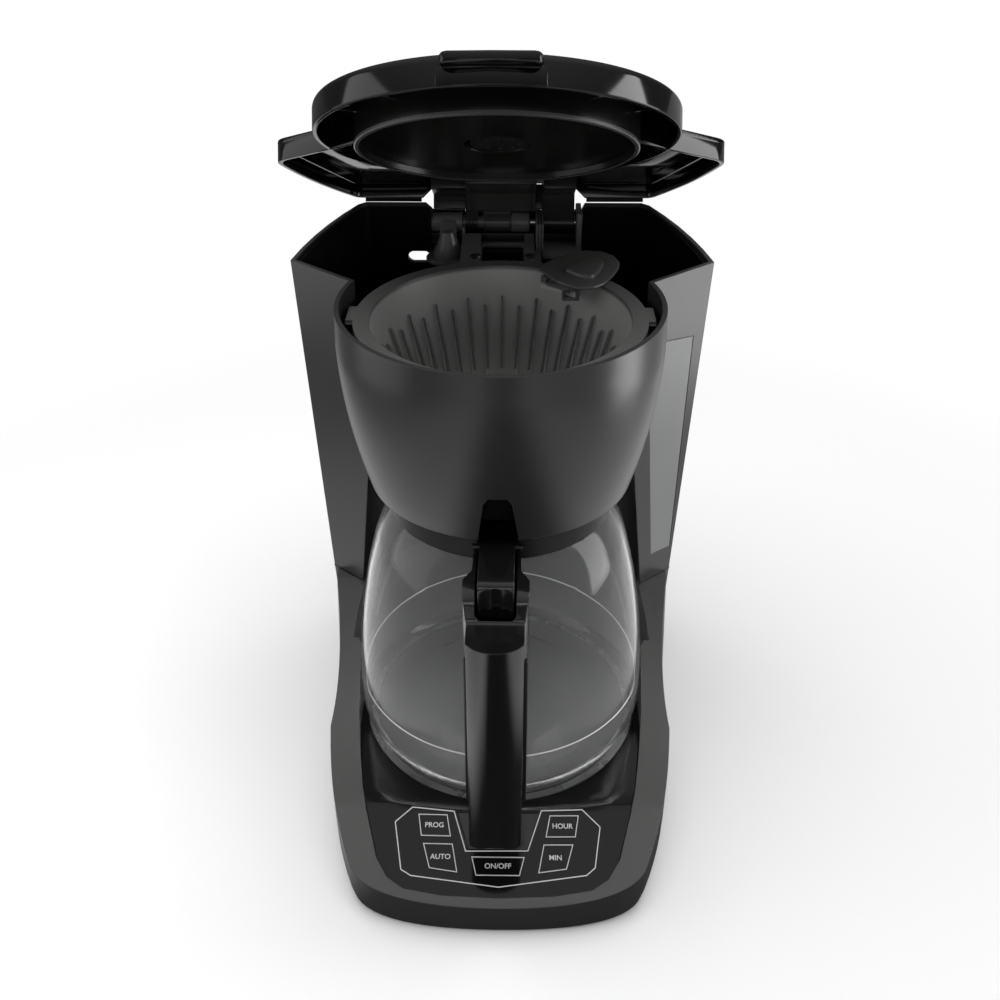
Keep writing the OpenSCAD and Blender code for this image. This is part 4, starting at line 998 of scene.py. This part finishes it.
# dark joint between the base and the housing above it
def makeSeam(s):
    line = bpy.data.objects.new("seam", nodes["upper_housing"].data.copy())
    bpy.context.scene.collection.objects.link(line)
    bpy.ops.mesh.primitive_cube_add(size=1.0)
    band = bpy.context.active_object
    size = Matrix.Diagonal((0.5, 0.5, s["high"], 1.0))
    band.data.transform(Matrix.Translation((0, 0, s["z"] + s["high"] / 2)) @ size)
    cutBy(line, band, "INTERSECT")
    middle = Vector((0, s["middle"], 0))
    spread = Matrix.Diagonal((s["spread"], s["spread"], 1.0, 1.0))
    line.data.transform(Matrix.Translation(middle) @ spread @ Matrix.Translation(-middle))
    dress(line, finishes["liner_black"])
    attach(line, bodyOf("upper_housing"))


flatNodes = ("upper_housing", "base_shell")
smoothNodes = ("base_shell", "upper_housing", "deck_panel", "basket_well", "filter_basket",
               "carafe_collar", "warming_plate", "plate_ring", "water_tank", "water_window")
skinFinish = {"base_shell": "baseGrey", "carafe_collar": "collarSmoke", "basket_well": "wellBlack",
              "water_tank": "wellBlack"}
for name in smoothNodes:
    smoothCopy(name)
makeSeam({"z": 0.095, "high": 0.0011, "spread": 1.0026, "middle": 0.03})
print("smooth copies are made")

# Floor and light

floorLook = {"clear": 0.30, "far": 0.58, "colour": 0.94, "bounce": 0.22, "glow": 1.15}
floorGlow = [(0.0, 0.08), (0.27, 0.08), (0.35, 0.66), (0.40, 0.70), (0.435, 0.95), (0.465, 0.04),
             (0.56, 0.04), (0.585, 0.75), (0.64, 0.75), (0.73, 0.35), (1.0, 0.25)]


# the floor keeps its shadow near the object and is plain white further out
def makeFloor(s):
    bpy.ops.mesh.primitive_plane_add(size=14.0)
    floor = bpy.context.active_object
    floor.name = "floor"
    floor.data.transform(Matrix.Translation((0.0, 3.0, 0.0)))
    look = Shader("floor")
    path = look.tree.nodes.new("ShaderNodeLightPath")
    spot = look.node("TexCoord", output="Object")
    distance = look.node("VectorMath", {"operation": "LENGTH"}, (spot,), output=1)
    mask = look.node("MapRange", values={"Value": distance, "From Min": s["clear"], "From Max": s["far"]})
    near = look.node("BsdfDiffuse", values={"Color": (s["colour"],) * 3})
    white = look.node("Emission", values={"Color": (1.0, 1.0, 1.0), "Strength": 1.0})
    seen = look.node("MixShader", values=(mask, near, white))
    x = look.node("SeparateXYZ", values=(spot,))
    glow = look.ramp(x * 0.5 + 0.5, *floorGlow) * s["glow"]
    mirrorGlow = look.node("Emission", values={"Color": (1.0, 1.0, 1.0), "Strength": glow})
    bounce = look.node("BsdfDiffuse", values={"Color": (s["bounce"],) * 3})
    other = look.node("MixShader", values=(path.outputs["Is Glossy Ray"], bounce, mirrorGlow))
    clear = Num(look, path.outputs["Is Camera Ray"]) + Num(look, path.outputs["Is Transmission Ray"])
    shown = look.node("MixShader", values=(clear, other, seen))
    output = look.tree.nodes.new("ShaderNodeOutputMaterial")
    look.tree.links.new(shown.socket, output.inputs[0])
    look.material.cycles.emission_sampling = "NONE"
    dress(floor, look.material)


# white to the camera and through glass; dim and brightest overhead to everything else
def makeWorld(dim, zenith):
    world = bpy.data.worlds.new("studio")
    bpy.context.scene.world = world
    world.use_nodes = True
    look = Shader("studioMaths")
    look.tree = world.node_tree
    look.tree.nodes.clear()
    path = look.tree.nodes.new("ShaderNodeLightPath")
    spot = look.node("TexCoord", output="Generated")
    up = look.node("SeparateXYZ", values=(spot,), output=2).math("MAXIMUM", 0.0)
    soft = look.node("Background", values=((1.0, 1.0, 1.0), up * up * zenith + dim))
    white = look.node("Background", values=((1.0, 1.0, 1.0), 1.0))
    clear = Num(look, path.outputs["Is Camera Ray"]) + Num(look, path.outputs["Is Transmission Ray"])
    shown = look.node("MixShader", values=(clear, soft, white))
    output = look.tree.nodes.new("ShaderNodeOutputWorld")
    look.tree.links.new(shown.socket, output.inputs[0])
    bpy.data.materials.remove(look.material)


# a soft light panel; mirrored is whether gloss shows it, lit whether it lights dull faces
def softBox(name, place, aim, size, glow, mirrored=True, lit=True):
    light = bpy.data.lights.new(name, "AREA")
    light.shape = "RECTANGLE"
    light.size, light.size_y = size
    light.energy = glow * math.pi * size[0] * size[1]
    box = bpy.data.objects.new(name, light)
    bpy.context.scene.collection.objects.link(box)
    box.location = place
    box.visible_glossy = mirrored
    box.visible_diffuse = lit
    box.visible_camera = False
    box.rotation_euler = (Vector(aim) - Vector(place)).to_track_quat("-Z", "Y").to_euler()


makeFloor(floorLook)
makeWorld(0.06, 0.5)
aim = (0.0, 0.0, 0.20)
rightSpot, rightSize = (0.44, -0.02, 0.27), (0.20, 0.53)
softBox("rightPanel", rightSpot, aim, rightSize, 4.6, lit=False)
softBox("rightFill", rightSpot, aim, rightSize, 2.7, mirrored=False)
softBox("leftPanel", (-0.56, -0.08, 0.30), aim, (0.48, 0.60), 1.1)
softBox("topPanel", (0.0, 0.05, 1.2), aim, (1.3, 1.1), 3.0, mirrored=False)
softBox("frontPanel", (-0.1, -1.2, 0.52), (0.0, 0.0, 0.24), (0.80, 0.28), 1.3)

bpy.context.view_layer.update()
